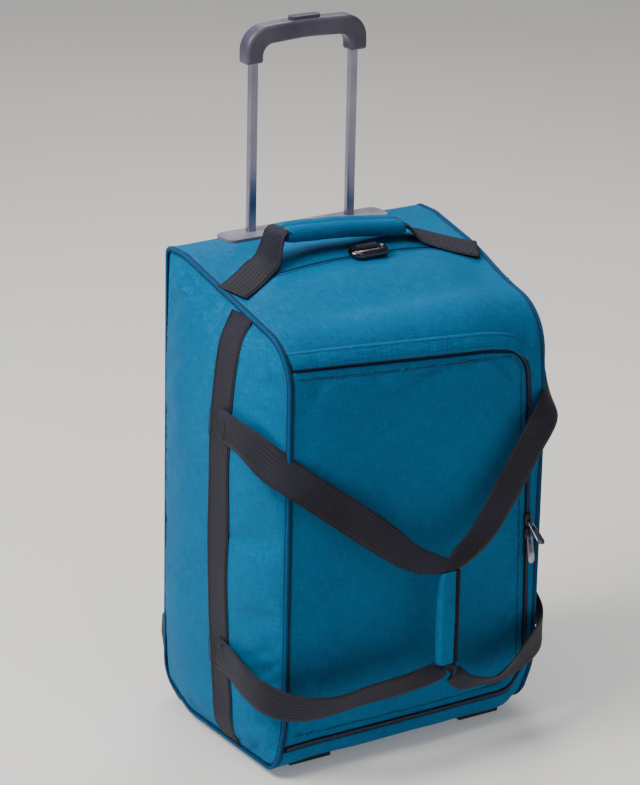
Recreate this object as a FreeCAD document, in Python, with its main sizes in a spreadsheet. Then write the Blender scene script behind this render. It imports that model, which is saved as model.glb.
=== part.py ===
import FreeCAD, Part
import math
import os
import re

# A soft-sided rolling duffel that stands on two wheels and two feet.
# Each sub-part is drawn in the bag's own frame: X across, Y from front to back, Z up
# from the underside of the fabric. Its Placement then lifts it onto the wheels and
# centres the whole outline on the origin.

doc = FreeCAD.newDocument("rolling_duffel")
V = FreeCAD.Vector

DIMENSIONS = {
    # fabric body
    "bag_width": 350, "bag_depth": 272, "bag_height": 560, "panel": 6, "rim": 4,
    "top_flat": 40, "top_fall": 12.1, "shoulder_radius": 60, "toe_radius": 25,
    "heel_radius": 40, "back_radius": 8, "dome": 33, "floor_gap": 12, "frame_y": 21.3,
    "piping_radius": 3, "board": 2,
    "seam_y": 14, "lid_depth": 12, "panel_lap": 20, "seam_rise": 45, "back_seam": 28,
    "crown": 13, "crown_y": -3, "crown_width": 316, "crown_depth": 160,
    # zipped front flap
    "zip_top": 489, "zip_shoulder": 468, "zip_low": 29, "zip_right": 163,
    "zip_corner": 38, "zip_lean": 12, "zip_tape": 6, "flap_panel": 4,
    "slider_height": 238, "slider_apart": 18, "storm_height": 15, "tape_thick": 1.6,
    "zip_gap": 0.5, "flap_play": 1.5, "puller_length": 34,
    # webbing
    "webbing": 40, "webbing_thick": 2.4, "webbing_y": -36, "stand_off": 52,
    "tie_high": 412, "tie_low": 126, "tie_gap": 13, "wrap_x": 8, "wrap_low": 116,
    "wrap_height": 115, "wrap_wide": 22, "wrap_deep": 14, "wrap_wall": 3,
    "strap_split": 4.6, "core_width": 8.4, "core_thick": 6.5,
    # top grab handle and ring
    "pad_y": 40, "pad_half": 80, "pad_left": 587, "pad_middle": 582, "pad_right": 572,
    "roll_radius": 10, "roll_split": 9, "ring_x": 18, "ring_half": 24, "ring_reach": 14,
    "ring_wire": 3.2, "ring_sleeve": 5.5, "ring_lift": 6.5,
    # trolley
    "tube_spacing": 137, "tube_y": 124, "tube_wide": 11, "tube_deep": 8, "tube_wall": 1.2,
    "tube_shown": 202, "tube_length": 482, "grip_socket": 12, "outer_wall": 1.4, "slip": 0.4,
    "bezel_thick": 5, "bezel_width": 224, "bezel_depth": 36, "bezel_lip": 118,
    "grip_width": 165, "grip_height": 43, "grip_bar": 22, "grip_deep": 22, "grip_leg": 23,
    "grip_arch": 3, "button_length": 41, "button_depth": 13, "button_recess": 4,
    "button_height": 10, "link_lift": 13.5, "rod_radius": 1.6, "pin_radius": 2,
    # running gear
    "wheel_radius": 31, "wheel_width": 22, "wheel_y": 108,
    "axle_radius": 3, "housing_width": 46, "housing_wall": 3, "running_gap": 0.05,
    "housing_front": 68, "housing_top": 112, "tread": 8, "boss_radius": 8,
    "foot_x": 120, "foot_width": 56, "foot_depth": 24, "foot_set_back": 42,
}

sheet = doc.addObject("Spreadsheet::Sheet", "dims")
for row, (alias, value) in enumerate(DIMENSIONS.items(), 1):
    sheet.set("A%d" % row, alias)
    sheet.set("B%d" % row, str(value))
    sheet.setAlias("B%d" % row, alias)
doc.recompute()


def size(alias):
    """The value of one driving dimension, read from the sheet."""
    return float(getattr(sheet, alias))


def bind(item, prop, text):
    """Bind a property to an expression written with the sheet's aliases."""
    words = re.split(r"([a-z_]+)", str(text))
    item.setExpression(prop, "".join("dims." + word if word in DIMENSIONS else word for word in words))


def finish(item, label):
    """Name a sub-part and stand it on the wheels, centred on the origin."""
    item.Label = label
    bind(item, "Placement.Base.y", "frame_y")
    bind(item, "Placement.Base.z", "floor_gap")
    PARTS.append(item)
    return item


PARTS = []


# ---- building blocks -------------------------------------------------------------

def block(name, lengths, centre):
    """A box from three size expressions and three centre expressions."""
    item = doc.addObject("Part::Box", name)
    for prop, axis, length, middle in zip(("Length", "Width", "Height"), "xyz", lengths, centre):
        bind(item, prop, length)
        bind(item, "Placement.Base." + axis, "(%s) - (%s) / 2" % (middle, length))
    return item


def rod(name, radius, length, centre, direction):
    """A cylinder centred on a point, along X, Y or Z."""
    item = doc.addObject("Part::Cylinder", name)
    bind(item, "Radius", radius)
    bind(item, "Height", length)
    turn = {"x": FreeCAD.Rotation(V(0, 1, 0), 90), "y": FreeCAD.Rotation(V(1, 0, 0), -90),
            "z": FreeCAD.Rotation()}
    item.Placement = FreeCAD.Placement(V(), turn[direction])
    for axis, middle in zip("xyz", centre):
        shift = " - (%s) / 2" % length if axis == direction else ""
        bind(item, "Placement.Base." + axis, "(%s)%s" % (middle, shift))
    return item


def cut(name, base, *tools):
    """The base with every tool taken away."""
    for count, tool in enumerate(tools):
        item = doc.addObject("Part::Cut", "%s_%d" % (name, count))
        item.Base = base
        item.Tool = tool
        base = item
    return base


def fuse(name, *items):
    """Several solids as one."""
    item = doc.addObject("Part::MultiFuse", name)
    item.Shapes = list(items)
    return item


def group(name, *items):
    """Several separate solids that share one sub-part."""
    item = doc.addObject("Part::Compound", name)
    item.Links = list(items)
    return item


def whole(name, item):
    """A primitive wrapped so that it can take the sub-part's own Placement."""
    return group(name, item)


def solid(name, shape):
    """A freely shaped sub-part."""
    item = doc.addObject("Part::Feature", name)
    item.Shape = shape if shape.Placement.isIdentity() else Part.makeCompound([shape])
    return item


def rounded(points, radii):
    """Straight edges and tangent arcs round a closed outline."""
    count = len(points)
    ends = []
    for index, corner in enumerate(points):
        before = (points[index - 1] - corner).normalize()
        after = (points[(index + 1) % count] - corner).normalize()
        radius = radii[index]
        half = before.getAngle(after) / 2
        reach = radius / math.tan(half)
        middle = (before + after).normalize() * (radius / math.sin(half) - radius)
        ends.append((corner + before * reach, corner + middle, corner + after * reach, radius))
    curves = []
    for index, (start, middle, end, radius) in enumerate(ends):
        if radius > 0:
            curves.append(Part.Arc(start, middle, end))
        following = ends[(index + 1) % count][0]
        if end.distanceToPoint(following) > 1e-6:
            curves.append(Part.LineSegment(end, following))
    return curves


def outline(points, radii):
    """A closed wire of straight edges and tangent arcs."""
    return Part.Wire([curve.toShape() for curve in rounded(points, radii)])


def slab(wire, direction):
    """A flat outline pushed along a direction."""
    return Part.Face(wire).extrude(direction)


def box_shape(low, high):
    """A plain box between two corners."""
    span = V(*high) - V(*low)
    return Part.makeBox(span.x, span.y, span.z, V(*low))


def plane(body, role):
    return [item for item in body.Origin.OriginFeatures if item.Role == role][0]


def sketch(body, name, role, offset, points, radii):
    """A rounded outline on one of the body's own origin planes."""
    item = body.newObject("Sketcher::SketchObject", name)
    item.AttachmentSupport = [(plane(body, role), "")]
    item.MapMode = "FlatFace"
    if offset:
        bind(item, ".AttachmentOffset.Base.z", offset)
    for curve in rounded([V(x, y, 0) for x, y in points], radii):
        item.addGeometry(curve)
    return item


def pad(body, name, profile, length, both=False):
    item = body.newObject("PartDesign::Pad", name)
    item.Profile = profile
    bind(item, "Length", length)
    if both:
        item.SideType = "Symmetric"
    return item


def pocket(body, name, profile, length):
    item = body.newObject("PartDesign::Pocket", name)
    item.Profile = profile
    bind(item, "Length", length)
    item.SideType = "Symmetric"
    return item


def rectangle(width, depth, centre=(0, 0)):
    x, y = centre
    return [(x - width / 2, y - depth / 2), (x + width / 2, y - depth / 2),
            (x + width / 2, y + depth / 2), (x - width / 2, y + depth / 2)]


# ---- outline of the fabric body ------------------------------------------------------

width, depth, height = size("bag_width"), size("bag_depth"), size("bag_height")
panel, rim = size("panel"), size("rim")
half_width, half_depth = width / 2, depth / 2
band = half_width - rim
FRONT = -half_depth
slope_start = half_depth - size("top_flat")
fall = math.tan(math.radians(size("top_fall")))
front_top = height - fall * (slope_start - FRONT)
tape = size("zip_tape")
lap = size("webbing_thick")
webbing = size("webbing")


def top_height(y):
    """Height of the sloping top above the bag's underside."""
    return height - fall * max(0.0, slope_start - y)


def side_outline(x, inset=0.0):
    """The bag's outline seen from the side, in the plane at x."""
    corners = [(half_depth, 0), (half_depth, height), (slope_start, height), (FRONT, front_top),
               (FRONT, 0)]
    radii = [size("heel_radius"), size("back_radius"), 0, size("shoulder_radius"),
             size("toe_radius")]
    wire = outline([V(x, y, z) for y, z in corners], radii)
    return wire.makeOffset2D(-inset) if inset else wire


def crown_solid(drop=0.0):
    """The gentle pillow by which the packed bag lifts its sloping top."""
    rise, long, deep = size("crown"), size("crown_width"), size("crown_depth")
    wires = []
    for lift, scale in ((-panel, 1), (0, 1), (0.4 * rise, 0.93), (0.78 * rise, 0.75), (rise, 0.4)):
        corners = [V(x * scale, y * scale, lift - drop) for x, y in rectangle(long, deep)]
        wires.append(outline(corners, [40 * scale] * 4))
    pillow = Part.makeLoft(wires, True, True)
    pillow.rotate(V(), V(1, 0, 0), size("top_fall"))
    return pillow.translated(V(0, size("crown_y"), top_height(size("crown_y"))))


def padded_ring():
    """The padded band that wraps right round the bag between the two side panels."""
    outside = slab(side_outline(-band), V(2 * band, 0, 0)).fuse(crown_solid())
    return outside.cut(slab(side_outline(-band, panel), V(2 * band, 0, 0))).cut(crown_solid(panel))


RING = padded_ring()


def shell_band(low_y, high_y, low_z, high_z):
    """A stretch of the padded band."""
    return RING.common(box_shape((-width, low_y, low_z), (width, high_y, high_z)))


def dome_solid(side, lift=0.0, shrink=1.0):
    """The pillow shape of a side panel, bulging outwards from its rim."""
    rise = size("dome")
    middle = V(0, 0, height / 2)
    steps = [(0, 1), (rim, 1), (rim + 0.5 * rise, 0.92), (rim + 0.85 * rise, 0.76),
             (rim + rise, 0.45)]
    wires = []
    for out, scale in steps:
        wire = side_outline(0, rim)
        wire.scale(scale * shrink, middle)
        wire.translate(V(side * (band + out + lift), 0, 0))
        wires.append(wire)
    return Part.makeLoft(wires, True, True)


def dome_height(y, z):
    """How far the side panel stands out beyond the band at one place."""
    probe = Part.makeLine(V(0, y, z), V(2 * width, y, z)).common(DOME[1])
    return probe.BoundBox.XMax


DOME = {side: dome_solid(side) for side in (-1, 1)}
SIDES = ((-1, "left"), (1, "right"))

# ---- fabric panels -------------------------------------------------------------------

housing_width = size("housing_width")
housing_low, housing_high = size("housing_front"), size("housing_top")
housing_inner = band - housing_width - 1
seam_y, lid, seam_lap = size("seam_y"), size("lid_depth"), size("panel_lap")
seam_rise = size("seam_rise")
toe_y = FRONT + size("back_seam")

for side, name in SIDES:
    hollow = dome_solid(side, -panel, 0.97)
    finish(solid(name + "_side", DOME[side].cut(hollow)), name + "_side_panel")

front = shell_band(FRONT - 1, toe_y, -1, height)
front = front.fuse(shell_band(toe_y, seam_y, 100, height + 20)).removeSplitter()
top = shell_band(seam_y, half_depth + 1, height - lid, height + 1)
top = top.fuse(shell_band(seam_y, half_depth - seam_lap, 100, height + 20)).removeSplitter()
bottom = shell_band(toe_y, half_depth + 1, -1, seam_rise)
back = shell_band(half_depth - seam_lap, half_depth + 1, seam_rise, height - lid)
for side, name in SIDES:
    inner, outer = sorted((side * housing_inner, side * (band + 1)))
    notch = box_shape((inner, housing_low - 1, -20), (outer, half_depth + 40, housing_high + 1))
    bottom = bottom.cut(notch)
    back = back.cut(notch)

# the zipper's line: straight along the top, round a corner, down the right and back
lean = size("zip_lean")
zip_right = size("zip_right")
ZIP_LINE = [(-band, size("zip_low")), (zip_right, size("zip_low")),
            (zip_right - lean, size("zip_shoulder")), (-band, size("zip_top"))]


def flap_outline(y, grow):
    """The zipper's line in the front plane, grown or shrunk, closed along the left seam."""
    points = [(-band, ZIP_LINE[0][1] - grow), (zip_right + grow, ZIP_LINE[1][1] - grow),
              (zip_right - lean + grow, ZIP_LINE[2][1] + grow), (-band, ZIP_LINE[3][1] + grow)]
    radii = [0, size("zip_corner") + grow, size("zip_corner") + grow, 0]
    return outline([V(x, y, z) for x, z in points], radii)


def flap_slab(grow, low_y, high_y):
    return slab(flap_outline(low_y, grow), V(0, high_y - low_y, 0))


front = front.cut(flap_slab(tape, FRONT - 5, FRONT + 20))
finish(solid("front", front), "front_panel")
finish(solid("top", top.cut(box_shape((-size("bezel_lip"), half_depth - 38, height - 20),
                                      (size("bezel_lip"), half_depth + 5, height + 5)))), "top_panel")
finish(solid("bottom", bottom), "bottom_panel")
finish(solid("back", back), "back_panel")

gap, tape_back = size("zip_gap"), FRONT + size("tape_thick")
flap_room = box_shape((-band + size("flap_play"), FRONT - 5, 0), (width, FRONT + 10, height))
bag_tape = flap_slab(tape, FRONT, tape_back).cut(flap_slab(gap, FRONT - 5, FRONT + 5))
finish(solid("bag_tape", bag_tape), "bag_zip_tape")
flap_tape = flap_slab(-gap, FRONT, tape_back).cut(flap_slab(-tape, FRONT - 5, FRONT + 5))
finish(solid("flap_tape", flap_tape.common(flap_room)), "flap_zip_tape")
flap = flap_slab(-tape, FRONT, FRONT + size("flap_panel"))
finish(solid("flap", flap.common(flap_room)), "front_flap")

# storm flap: a folded strip sewn above the zipper's top run, hanging over it
storm = flap_slab(tape + size("storm_height"), FRONT - 2, FRONT)
storm = storm.cut(flap_slab(tape, FRONT - 5, FRONT + 5)).common(
    box_shape((-band, FRONT - 5, size("zip_shoulder") - 40), (zip_right, FRONT + 5, height)))
finish(solid("storm", storm), "storm_flap")

# piping sewn into both side seams
for side, name in SIDES:
    bead = size("piping_radius")
    start, across = side * half_width - bead, V(2 * bead, 0, 0)
    cord = slab(side_outline(start, -2), across).cut(slab(side_outline(start, rim), across))
    finish(solid(name + "_cord", cord), name + "_piping")

# stiffening boards behind the lining
back_sheet = block("back_sheet_box", ("bag_width - 40", "board", "bag_height - 172"),
                   ("0", "bag_depth / 2 - 26", "bag_height / 2 + 36"))
finish(whole("back_sheet", back_sheet), "back_board")
base_sheet = block("base_sheet_box", ("2 * %g" % (housing_inner - 2), "bag_depth - 75", "board"),
                   ("0", "-12", "panel + board / 2"))
finish(whole("base_sheet", base_sheet), "bottom_board")

# ---- webbing ---------------------------------------------------------------------------

for side, name in SIDES:
    y = size("webbing_y")
    foot = box_shape((-2 * width, y - webbing / 2, 14), (2 * width, y + webbing / 2, top_height(y) - 16))
    strip = dome_solid(side, lap).cut(DOME[side]).common(foot)
    finish(solid(name + "_band", strip), name + "_side_webbing")


def ribbon(stations):
    """A flat strip through stations of centre, edge direction, width and thickness."""
    wires = []
    for index, (centre, edge, wide, thick) in enumerate(stations):
        before = stations[max(index - 1, 0)][0]
        after = stations[min(index + 1, len(stations) - 1)][0]
        run = (after - before).normalize()
        edge = (edge - run * edge.dot(run)).normalize()
        face = run.cross(edge)
        across, through = edge * wide / 2, face * thick / 2
        wires.append(Part.makePolygon([centre + across + through, centre - across + through,
                                       centre - across - through, centre + across - through,
                                       centre + across + through]))
    return Part.makeLoft(wires, True, True)


# each carry strap is one length of webbing: out of the side webbing, round the front corner
# to the middle, folded narrow through the grip wrap, and back to the side lower down
core_y = FRONT - size("stand_off")
wrap_x, wrap_low = size("wrap_x"), size("wrap_low")
wrap_high = wrap_low + size("wrap_height")
UP = V(0, 0, 1)
edge_y = size("webbing_y") - webbing / 2
tie_y = edge_y - size("tie_gap")
core_wide, core_thick = size("core_width"), size("core_thick")


def strap(side, core_x, top_out, top_z, low_out, low_z):
    """One carry strap: how far it stands out at the front corner, and how high, twice."""
    near = side * (half_width + 6)
    corner_y = edge_y - 45
    high_x = side * (dome_height(corner_y, top_z + 44) + 5)
    deep_x = side * (dome_height(corner_y, low_z + 60) + 5)
    top_x = side * (dome_height(tie_y, top_z + 40) + 4)
    low_x = side * (dome_height(tie_y, low_z + 64) + 4)
    sweep_up, sweep_low = V(-side * 0.75, 0, 1), V(side * 0.2, 0, 1)
    narrow, folded = webbing * 0.8, lap + 0.6

    def across(share):
        """A place between the front corner and the wrap."""
        return near + (core_x - near) * share

    def drop(share):
        """The upper run's height on its way down to the wrap."""
        return top_z + (wrap_high + 6 - top_z) * share

    return ribbon([
        (V(top_x, tie_y, top_z + 44), UP, webbing, lap),
        (V(high_x, corner_y, top_z + 28), UP, webbing, lap),
        (V(near + side * top_out, FRONT - 4, top_z), UP, webbing, lap),
        (V(across(0.16), FRONT - 20 - top_out, top_z - 24), UP, webbing, lap),
        (V(across(0.45), FRONT - 24 - top_out, drop(0.45)), UP, webbing, lap),
        (V(across(0.80), FRONT - 38, drop(0.80) + 6), sweep_up, narrow, folded),
        (V(core_x, core_y, wrap_high + 8), V(1, 0, 0), core_wide, core_thick),
        (V(core_x, core_y, wrap_low - 8), V(1, 0, 0), core_wide, core_thick),
        (V(across(0.78), FRONT - 46, low_z + 8), V(side * 0.4, 0, 1), narrow, folded),
        (V(across(0.45), FRONT - 42, low_z - 4), sweep_low, webbing, lap),
        (V(across(0.16), FRONT - 30 - low_out, low_z + 6), UP, webbing, lap),
        (V(near + side * (4 + low_out), FRONT - 6, low_z + 18), UP, webbing, lap),
        (V(deep_x, corner_y, low_z + 36), UP, webbing, lap),
        (V(low_x, tie_y, low_z + 48), UP, webbing, lap)])


split = size("strap_split")
core_mid = wrap_x + size("wrap_wall") / 2
finish(solid("left_loop", strap(-1, core_mid - split, 2, 366, 4, 78)), "left_carry_strap")
finish(solid("right_loop", strap(1, core_mid + split, 10, 376, 8, 82)), "right_carry_strap")

# X-stitched patches that hold the strap ends down
for side, name in SIDES:
    cover = dome_solid(side, lap + 2).cut(dome_solid(side, lap))
    patches = []
    for z in (size("tie_high"), size("tie_low")):
        patches.append(cover.common(box_shape((-2 * width, edge_y, z - webbing / 2),
                                              (2 * width, edge_y + webbing, z + webbing / 2))))
    finish(solid(name + "_patch", Part.makeCompound(patches)), name + "_strap_patches")

# the grip wrap: a padded C closed round both straps, with its mouth to the right
half_wide, half_deep = size("wrap_wide") / 2, size("wrap_deep") / 2
wrap_wall = size("wrap_wall")


def wrap_outline(inset, mouth, corner):
    """The wrap's section: round on the left, its mouth reaching out to the right."""
    left, right = wrap_x - half_wide + inset, wrap_x + half_wide + mouth
    near, far = core_y - half_deep + inset, core_y + half_deep - inset
    return outline([V(left, near, wrap_low), V(right, near, wrap_low), V(right, far, wrap_low),
                    V(left, far, wrap_low)], [corner, 0.5, 0.5, corner])


rise = V(0, 0, size("wrap_height"))
finish(solid("wrap", slab(wrap_outline(0, 0, 6), rise).cut(slab(wrap_outline(wrap_wall, 20, 1), rise))),
       "grip_wrap")
wrap_edge = block("wrap_edge_box", ("4", "5", "wrap_height"),
                  ("wrap_x + wrap_wide / 2 + 2", "%g" % (core_y - half_deep + 2),
                   "wrap_low + wrap_height / 2"))
finish(whole("wrap_edge", wrap_edge), "grip_wrap_binding")

# ---- top grab handle and ring ------------------------------------------------------------

pad_y, pad_half = size("pad_y"), size("pad_half")
end_z = {-1: size("pad_left"), 1: size("pad_right")}
pad_ends = [V(side * pad_half, pad_y, end_z[side]) for side in (-1, 1)]
pad_middle = V(0, pad_y, size("pad_middle"))
pad_spine = Part.Wire(Part.Arc(pad_ends[0], pad_middle, pad_ends[1]).toShape())
start_tangent = pad_spine.Edges[0].tangentAt(pad_spine.Edges[0].FirstParameter)
pad_ring = Part.Wire(Part.makeCircle(size("roll_radius"), pad_ends[0], start_tangent))
pad_roll = pad_spine.makePipe(Part.Face(pad_ring))
rolls = [pad_roll.translated(V(0, side * size("roll_split"), 0)) for side in (-1, 1)]
finish(solid("grab_pad", rolls[0].fuse(rolls[1]).removeSplitter()), "top_handle_pad")


def lie(y, crown_part):
    """Height at which webbing lies just above the crowned top."""
    return top_height(y) + crown_part * size("crown") + lap / 2 + 1


webbing_ends = []
for side in (-1, 1):
    flat, slant = V(0, 1, 0), V(0, 1, fall)
    webbing_ends.append(ribbon([
        (V(side * (pad_half + 3.5), pad_y, end_z[side] - 0.5), flat, webbing - 10, lap),
        (V(side * (pad_half + 12), pad_y - 2, end_z[side] - 4), flat, webbing - 6, lap),
        (V(side * (pad_half + 28), pad_y - 12, lie(pad_y - 12, 0.75) + 5), slant, webbing, lap),
        (V(side * (pad_half + 48), pad_y - 26, lie(pad_y - 26, 0.65) + 2), slant, webbing, lap),
        (V(side * (band - 7), pad_y - 40, lie(pad_y - 40, 0) + 3), slant, webbing, lap)]))
finish(solid("grab_webbing", Part.makeCompound(webbing_ends)), "top_handle_webbing")

ring_x, ring_y, ring_half = size("ring_x"), seam_y - 2, size("ring_half")
ring_z = top_height(ring_y) + size("crown") + size("ring_lift")
ring_front, ring_wire = ring_y - size("ring_reach"), size("ring_wire")
bar_z = ring_z - size("ring_reach") * fall
ring_path = outline([V(ring_x - ring_half, ring_y, ring_z), V(ring_x - ring_half, ring_front, bar_z),
                     V(ring_x + ring_half, ring_front, bar_z), V(ring_x + ring_half, ring_y, ring_z)],
                    [3.6, 6, 6, 3.6])
ring_edge = ring_path.Edges[-1]
ring_start = ring_edge.valueAt(ring_edge.FirstParameter)
ring_way = ring_edge.tangentAt(ring_edge.FirstParameter)
ring_face = Part.Face(Part.Wire(Part.makeCircle(ring_wire, ring_start, ring_way)))
ring_loop = Part.Wire(ring_path.Edges[-1:] + ring_path.Edges[:-1]).makePipe(ring_face)
sleeve_half = ring_half - 6
sleeve = Part.makeCylinder(size("ring_sleeve"), 2 * sleeve_half,
                           V(ring_x - sleeve_half, ring_front, bar_z), V(1, 0, 0))
finish(solid("ring", ring_loop.fuse(sleeve)), "strap_ring")
tab_half = ring_half - 10
tab_left = V(ring_x - tab_half, ring_y, ring_z)
tab_bore = Part.makeCylinder(ring_wire + 0.3, 2 * tab_half + 12, tab_left, V(1, 0, 0))
tab_skin = Part.makeCylinder(ring_wire + 2, 2 * tab_half, tab_left, V(1, 0, 0))
tab_tail = box_shape((ring_x - tab_half, ring_y + 1, ring_z - ring_wire - 2),
                     (ring_x + tab_half, ring_y + 16, ring_z - ring_wire + 0.2))
tab_tail.rotate(V(ring_x, ring_y, ring_z), V(1, 0, 0), size("top_fall"))
finish(solid("ring_tab", tab_skin.fuse(tab_tail).cut(tab_bore)), "ring_tab")

# ---- zip sliders and pullers ---------------------------------------------------------------

run_low = V(zip_right, FRONT, size("zip_low"))
run_high = V(zip_right - lean, FRONT, size("zip_shoulder"))
run = (run_high - run_low).normalize()
meet = run_low + run * ((size("slider_height") - run_low.z) / run.z)
half_apart = size("slider_apart") / 2
bar = 0.8
for way, name, flare in ((1, "upper", 55), (-1, "lower", 12)):
    centre = meet + run * half_apart * way
    face_y = FRONT - 4.8
    shell = box_shape((centre.x - 5, face_y, centre.z - 7), (centre.x + 5, FRONT - 0.4, centre.z + 7))
    bridge = box_shape((centre.x - 1.5, FRONT - 9, centre.z - 5), (centre.x + 1.5, face_y, centre.z + 5))
    eye = box_shape((centre.x - 3, FRONT - 7.4, centre.z - 3), (centre.x + 3, face_y, centre.z + 3))
    finish(solid(name + "_slide", shell.fuse(bridge).cut(eye)), name + "_zip_slider")
    pivot = V(centre.x, FRONT - 6.1, centre.z - 1.2)
    tab = box_shape((pivot.x - 5, pivot.y - bar, pivot.z - size("puller_length")),
                    (pivot.x + 5, pivot.y + bar, pivot.z))
    window = box_shape((pivot.x - 2.2, pivot.y - 3, pivot.z - 8), (pivot.x + 2.2, pivot.y + 3, pivot.z + 3))
    hinge_bar = Part.makeCylinder(bar, 10, pivot - V(5, 0, 0), V(1, 0, 0))
    puller = tab.cut(window).fuse(hinge_bar).removeSplitter()
    puller.rotate(pivot, V(1, 0, 0), -flare)
    finish(solid(name + "_pull", puller), name + "_zip_puller")

# ---- trolley: fixed outer tubes ----------------------------------------------------------

TUBE_X = {"left": "-tube_spacing / 2", "right": "tube_spacing / 2"}
outer_length = "(bag_height - 11 - seam_rise)"
tube_middle = "bag_height + bezel_thick + tube_shown + grip_socket - tube_length / 2"
sleeve_wide = "tube_wide + 2 * slip + 2 * outer_wall"
sleeve_deep = "tube_deep + 2 * slip + 2 * outer_wall"
STOP_HEIGHTS = (102, 500)
for side, name in SIDES:
    x = TUBE_X[name]
    middle = (x, "tube_y", "seam_rise + %s / 2" % outer_length)
    skin = block(name + "_outer_skin", (sleeve_wide, sleeve_deep, outer_length), middle)
    bore = block(name + "_outer_bore", ("tube_wide + 2 * slip", "tube_deep + 2 * slip",
                                        outer_length + " + 2"), middle)
    stops = [rod("%s_stop_%d" % (name, level), "pin_radius + 0.2", "30",
                 ("%s + %d" % (x, side * 12), "tube_y", str(level)), "x") for level in STOP_HEIGHTS]
    finish(cut(name + "_outer", skin, bore, *stops), name + "_outer_tube")
    inner = block(name + "_inner_skin", ("tube_wide", "tube_deep", "tube_length"),
                  (x, "tube_y", tube_middle))
    core = block(name + "_inner_core", ("tube_wide - 2 * tube_wall", "tube_deep - 2 * tube_wall",
                                        "tube_length + 2"), (x, "tube_y", tube_middle))
    wall = cut(name + "_inner_raw", inner, core)
    soft = doc.addObject("Part::Fillet", name + "_inner_round")
    soft.Base = wall
    doc.recompute()
    edges = [index + 1 for index, edge in enumerate(wall.Shape.Edges)
             if abs(edge.tangentAt(edge.FirstParameter).z) > 0.9
             and abs(abs(edge.CenterOfMass.y - size("tube_y")) - size("tube_deep") / 2) < 0.1]
    soft.Edges = [(index, 2.0, 2.0) for index in edges]
    finish(whole(name + "_inner", soft), name + "_inner_tube")

bezel = doc.addObject("PartDesign::Body", "bezel")
bezel_plan = rectangle(size("bezel_width"), size("bezel_depth"), (0, half_depth - 19))
plate = sketch(bezel, "bezel_plan", "XY_Plane", "bag_height", bezel_plan, [10] * 4)
pad(bezel, "bezel_plate", plate, "bezel_thick")
mouth = (size("tube_wide") + 2 * size("slip"), size("tube_deep") + 2 * size("slip"))
for side, name in SIDES:
    mouth_plan = rectangle(*mouth, (side * size("tube_spacing") / 2, size("tube_y")))
    hole = sketch(bezel, name + "_mouth", "XY_Plane", "bag_height", mouth_plan, [2.2] * 4)
    pocket(bezel, name + "_mouth_cut", hole, "80")
finish(bezel, "handle_bezel")

# foot bracket that ties the two outer tubes to the back panel
bracket = block("bracket_bar", ("tube_spacing + 34", "18", "26"), ("0", "tube_y - 3", "54"))
seats = [block(name + "_seat", (sleeve_wide, sleeve_deep, "44"), (x, "tube_y", "67"))
         for name, x in TUBE_X.items()]
finish(cut("bracket", bracket, *seats), "tube_foot_bracket")
screws = [rod("foot_screw_%d" % index, "2", "4", (str(x), "tube_y - 14", "54"), "y")
          for index, x in enumerate((-67, -25, 25, 67))]
finish(group("foot_screws", *screws), "bracket_screws")

# ---- trolley: grip, release and lock -----------------------------------------------------------

leg_low = height + size("bezel_thick") + size("tube_shown")
bar_low = leg_low + size("grip_height") - size("grip_bar")
bar_high = leg_low + size("grip_height")
half_grip, leg = size("grip_width") / 2, size("grip_leg")
grip = doc.addObject("PartDesign::Body", "grip")
arch = size("grip_arch")
grip_base = "bag_height + bezel_thick + tube_shown"
grip_top = grip_base + " + grip_height"
grip_face = sketch(grip, "grip_side", "XZ_Plane", "-tube_y",
                   [(-half_grip, leg_low), (-half_grip + leg, leg_low), (-half_grip + leg, bar_low),
                    (0, bar_low + arch), (half_grip - leg, bar_low), (half_grip - leg, leg_low),
                    (half_grip, leg_low), (half_grip, bar_high), (0, bar_high + arch),
                    (-half_grip, bar_high)],
                   [3, 3, 14, 300, 14, 3, 3, 30, 300, 30])
pad(grip, "grip_body", grip_face, "grip_deep", both=True)
for side, name in SIDES:
    x = side * size("tube_spacing") / 2
    socket = sketch(grip, name + "_socket", "XY_Plane", grip_base,
                    rectangle(size("tube_wide") + 0.1, size("tube_deep") + 0.1, (x, size("tube_y"))),
                    [2.0] * 4)
    pocket(grip, name + "_socket_cut", socket, "2 * grip_socket")
    duct = sketch(grip, name + "_duct", "XY_Plane", grip_base,
                  rectangle(5, 5, (x, size("tube_y"))), [1] * 4)
    pocket(grip, name + "_duct_cut", duct, "60")
well_plan = rectangle(size("button_length") + 1, size("button_depth") + 1, (0, size("tube_y")))
well = sketch(grip, "button_well", "XY_Plane", grip_top, well_plan, [6.9] * 4)
pocket(grip, "button_well_cut", well, "18")
channel = sketch(grip, "link_channel", "XZ_Plane", "-tube_y",
                 rectangle(size("tube_spacing") + 8, 12, (0, bar_low + 10)), [1] * 4)
pocket(grip, "link_channel_cut", channel, "8")
doc.recompute()
rounded_edges = [name for name, edge in
                 (("Edge%d" % (index + 1), edge) for index, edge in enumerate(grip.Shape.Edges))
                 if abs(abs(edge.CenterOfMass.y - size("tube_y")) - size("grip_deep") / 2) < 0.01]
sharp_grip = grip.Tip
soft_edges = grip.newObject("PartDesign::Fillet", "grip_round")
soft_edges.Base = (sharp_grip, rounded_edges)
soft_edges.Radius = 5
finish(grip, "grip_shell")

button = doc.addObject("PartDesign::Body", "button")
button_plan = rectangle(size("button_length"), size("button_depth"), (0, size("tube_y")))
button_face = sketch(button, "button_plan", "XY_Plane", grip_top + " - button_recess",
                     button_plan, [6.4] * 4)
pad(button, "button_cap", button_face, "button_height")
finish(button, "release_button")

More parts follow.
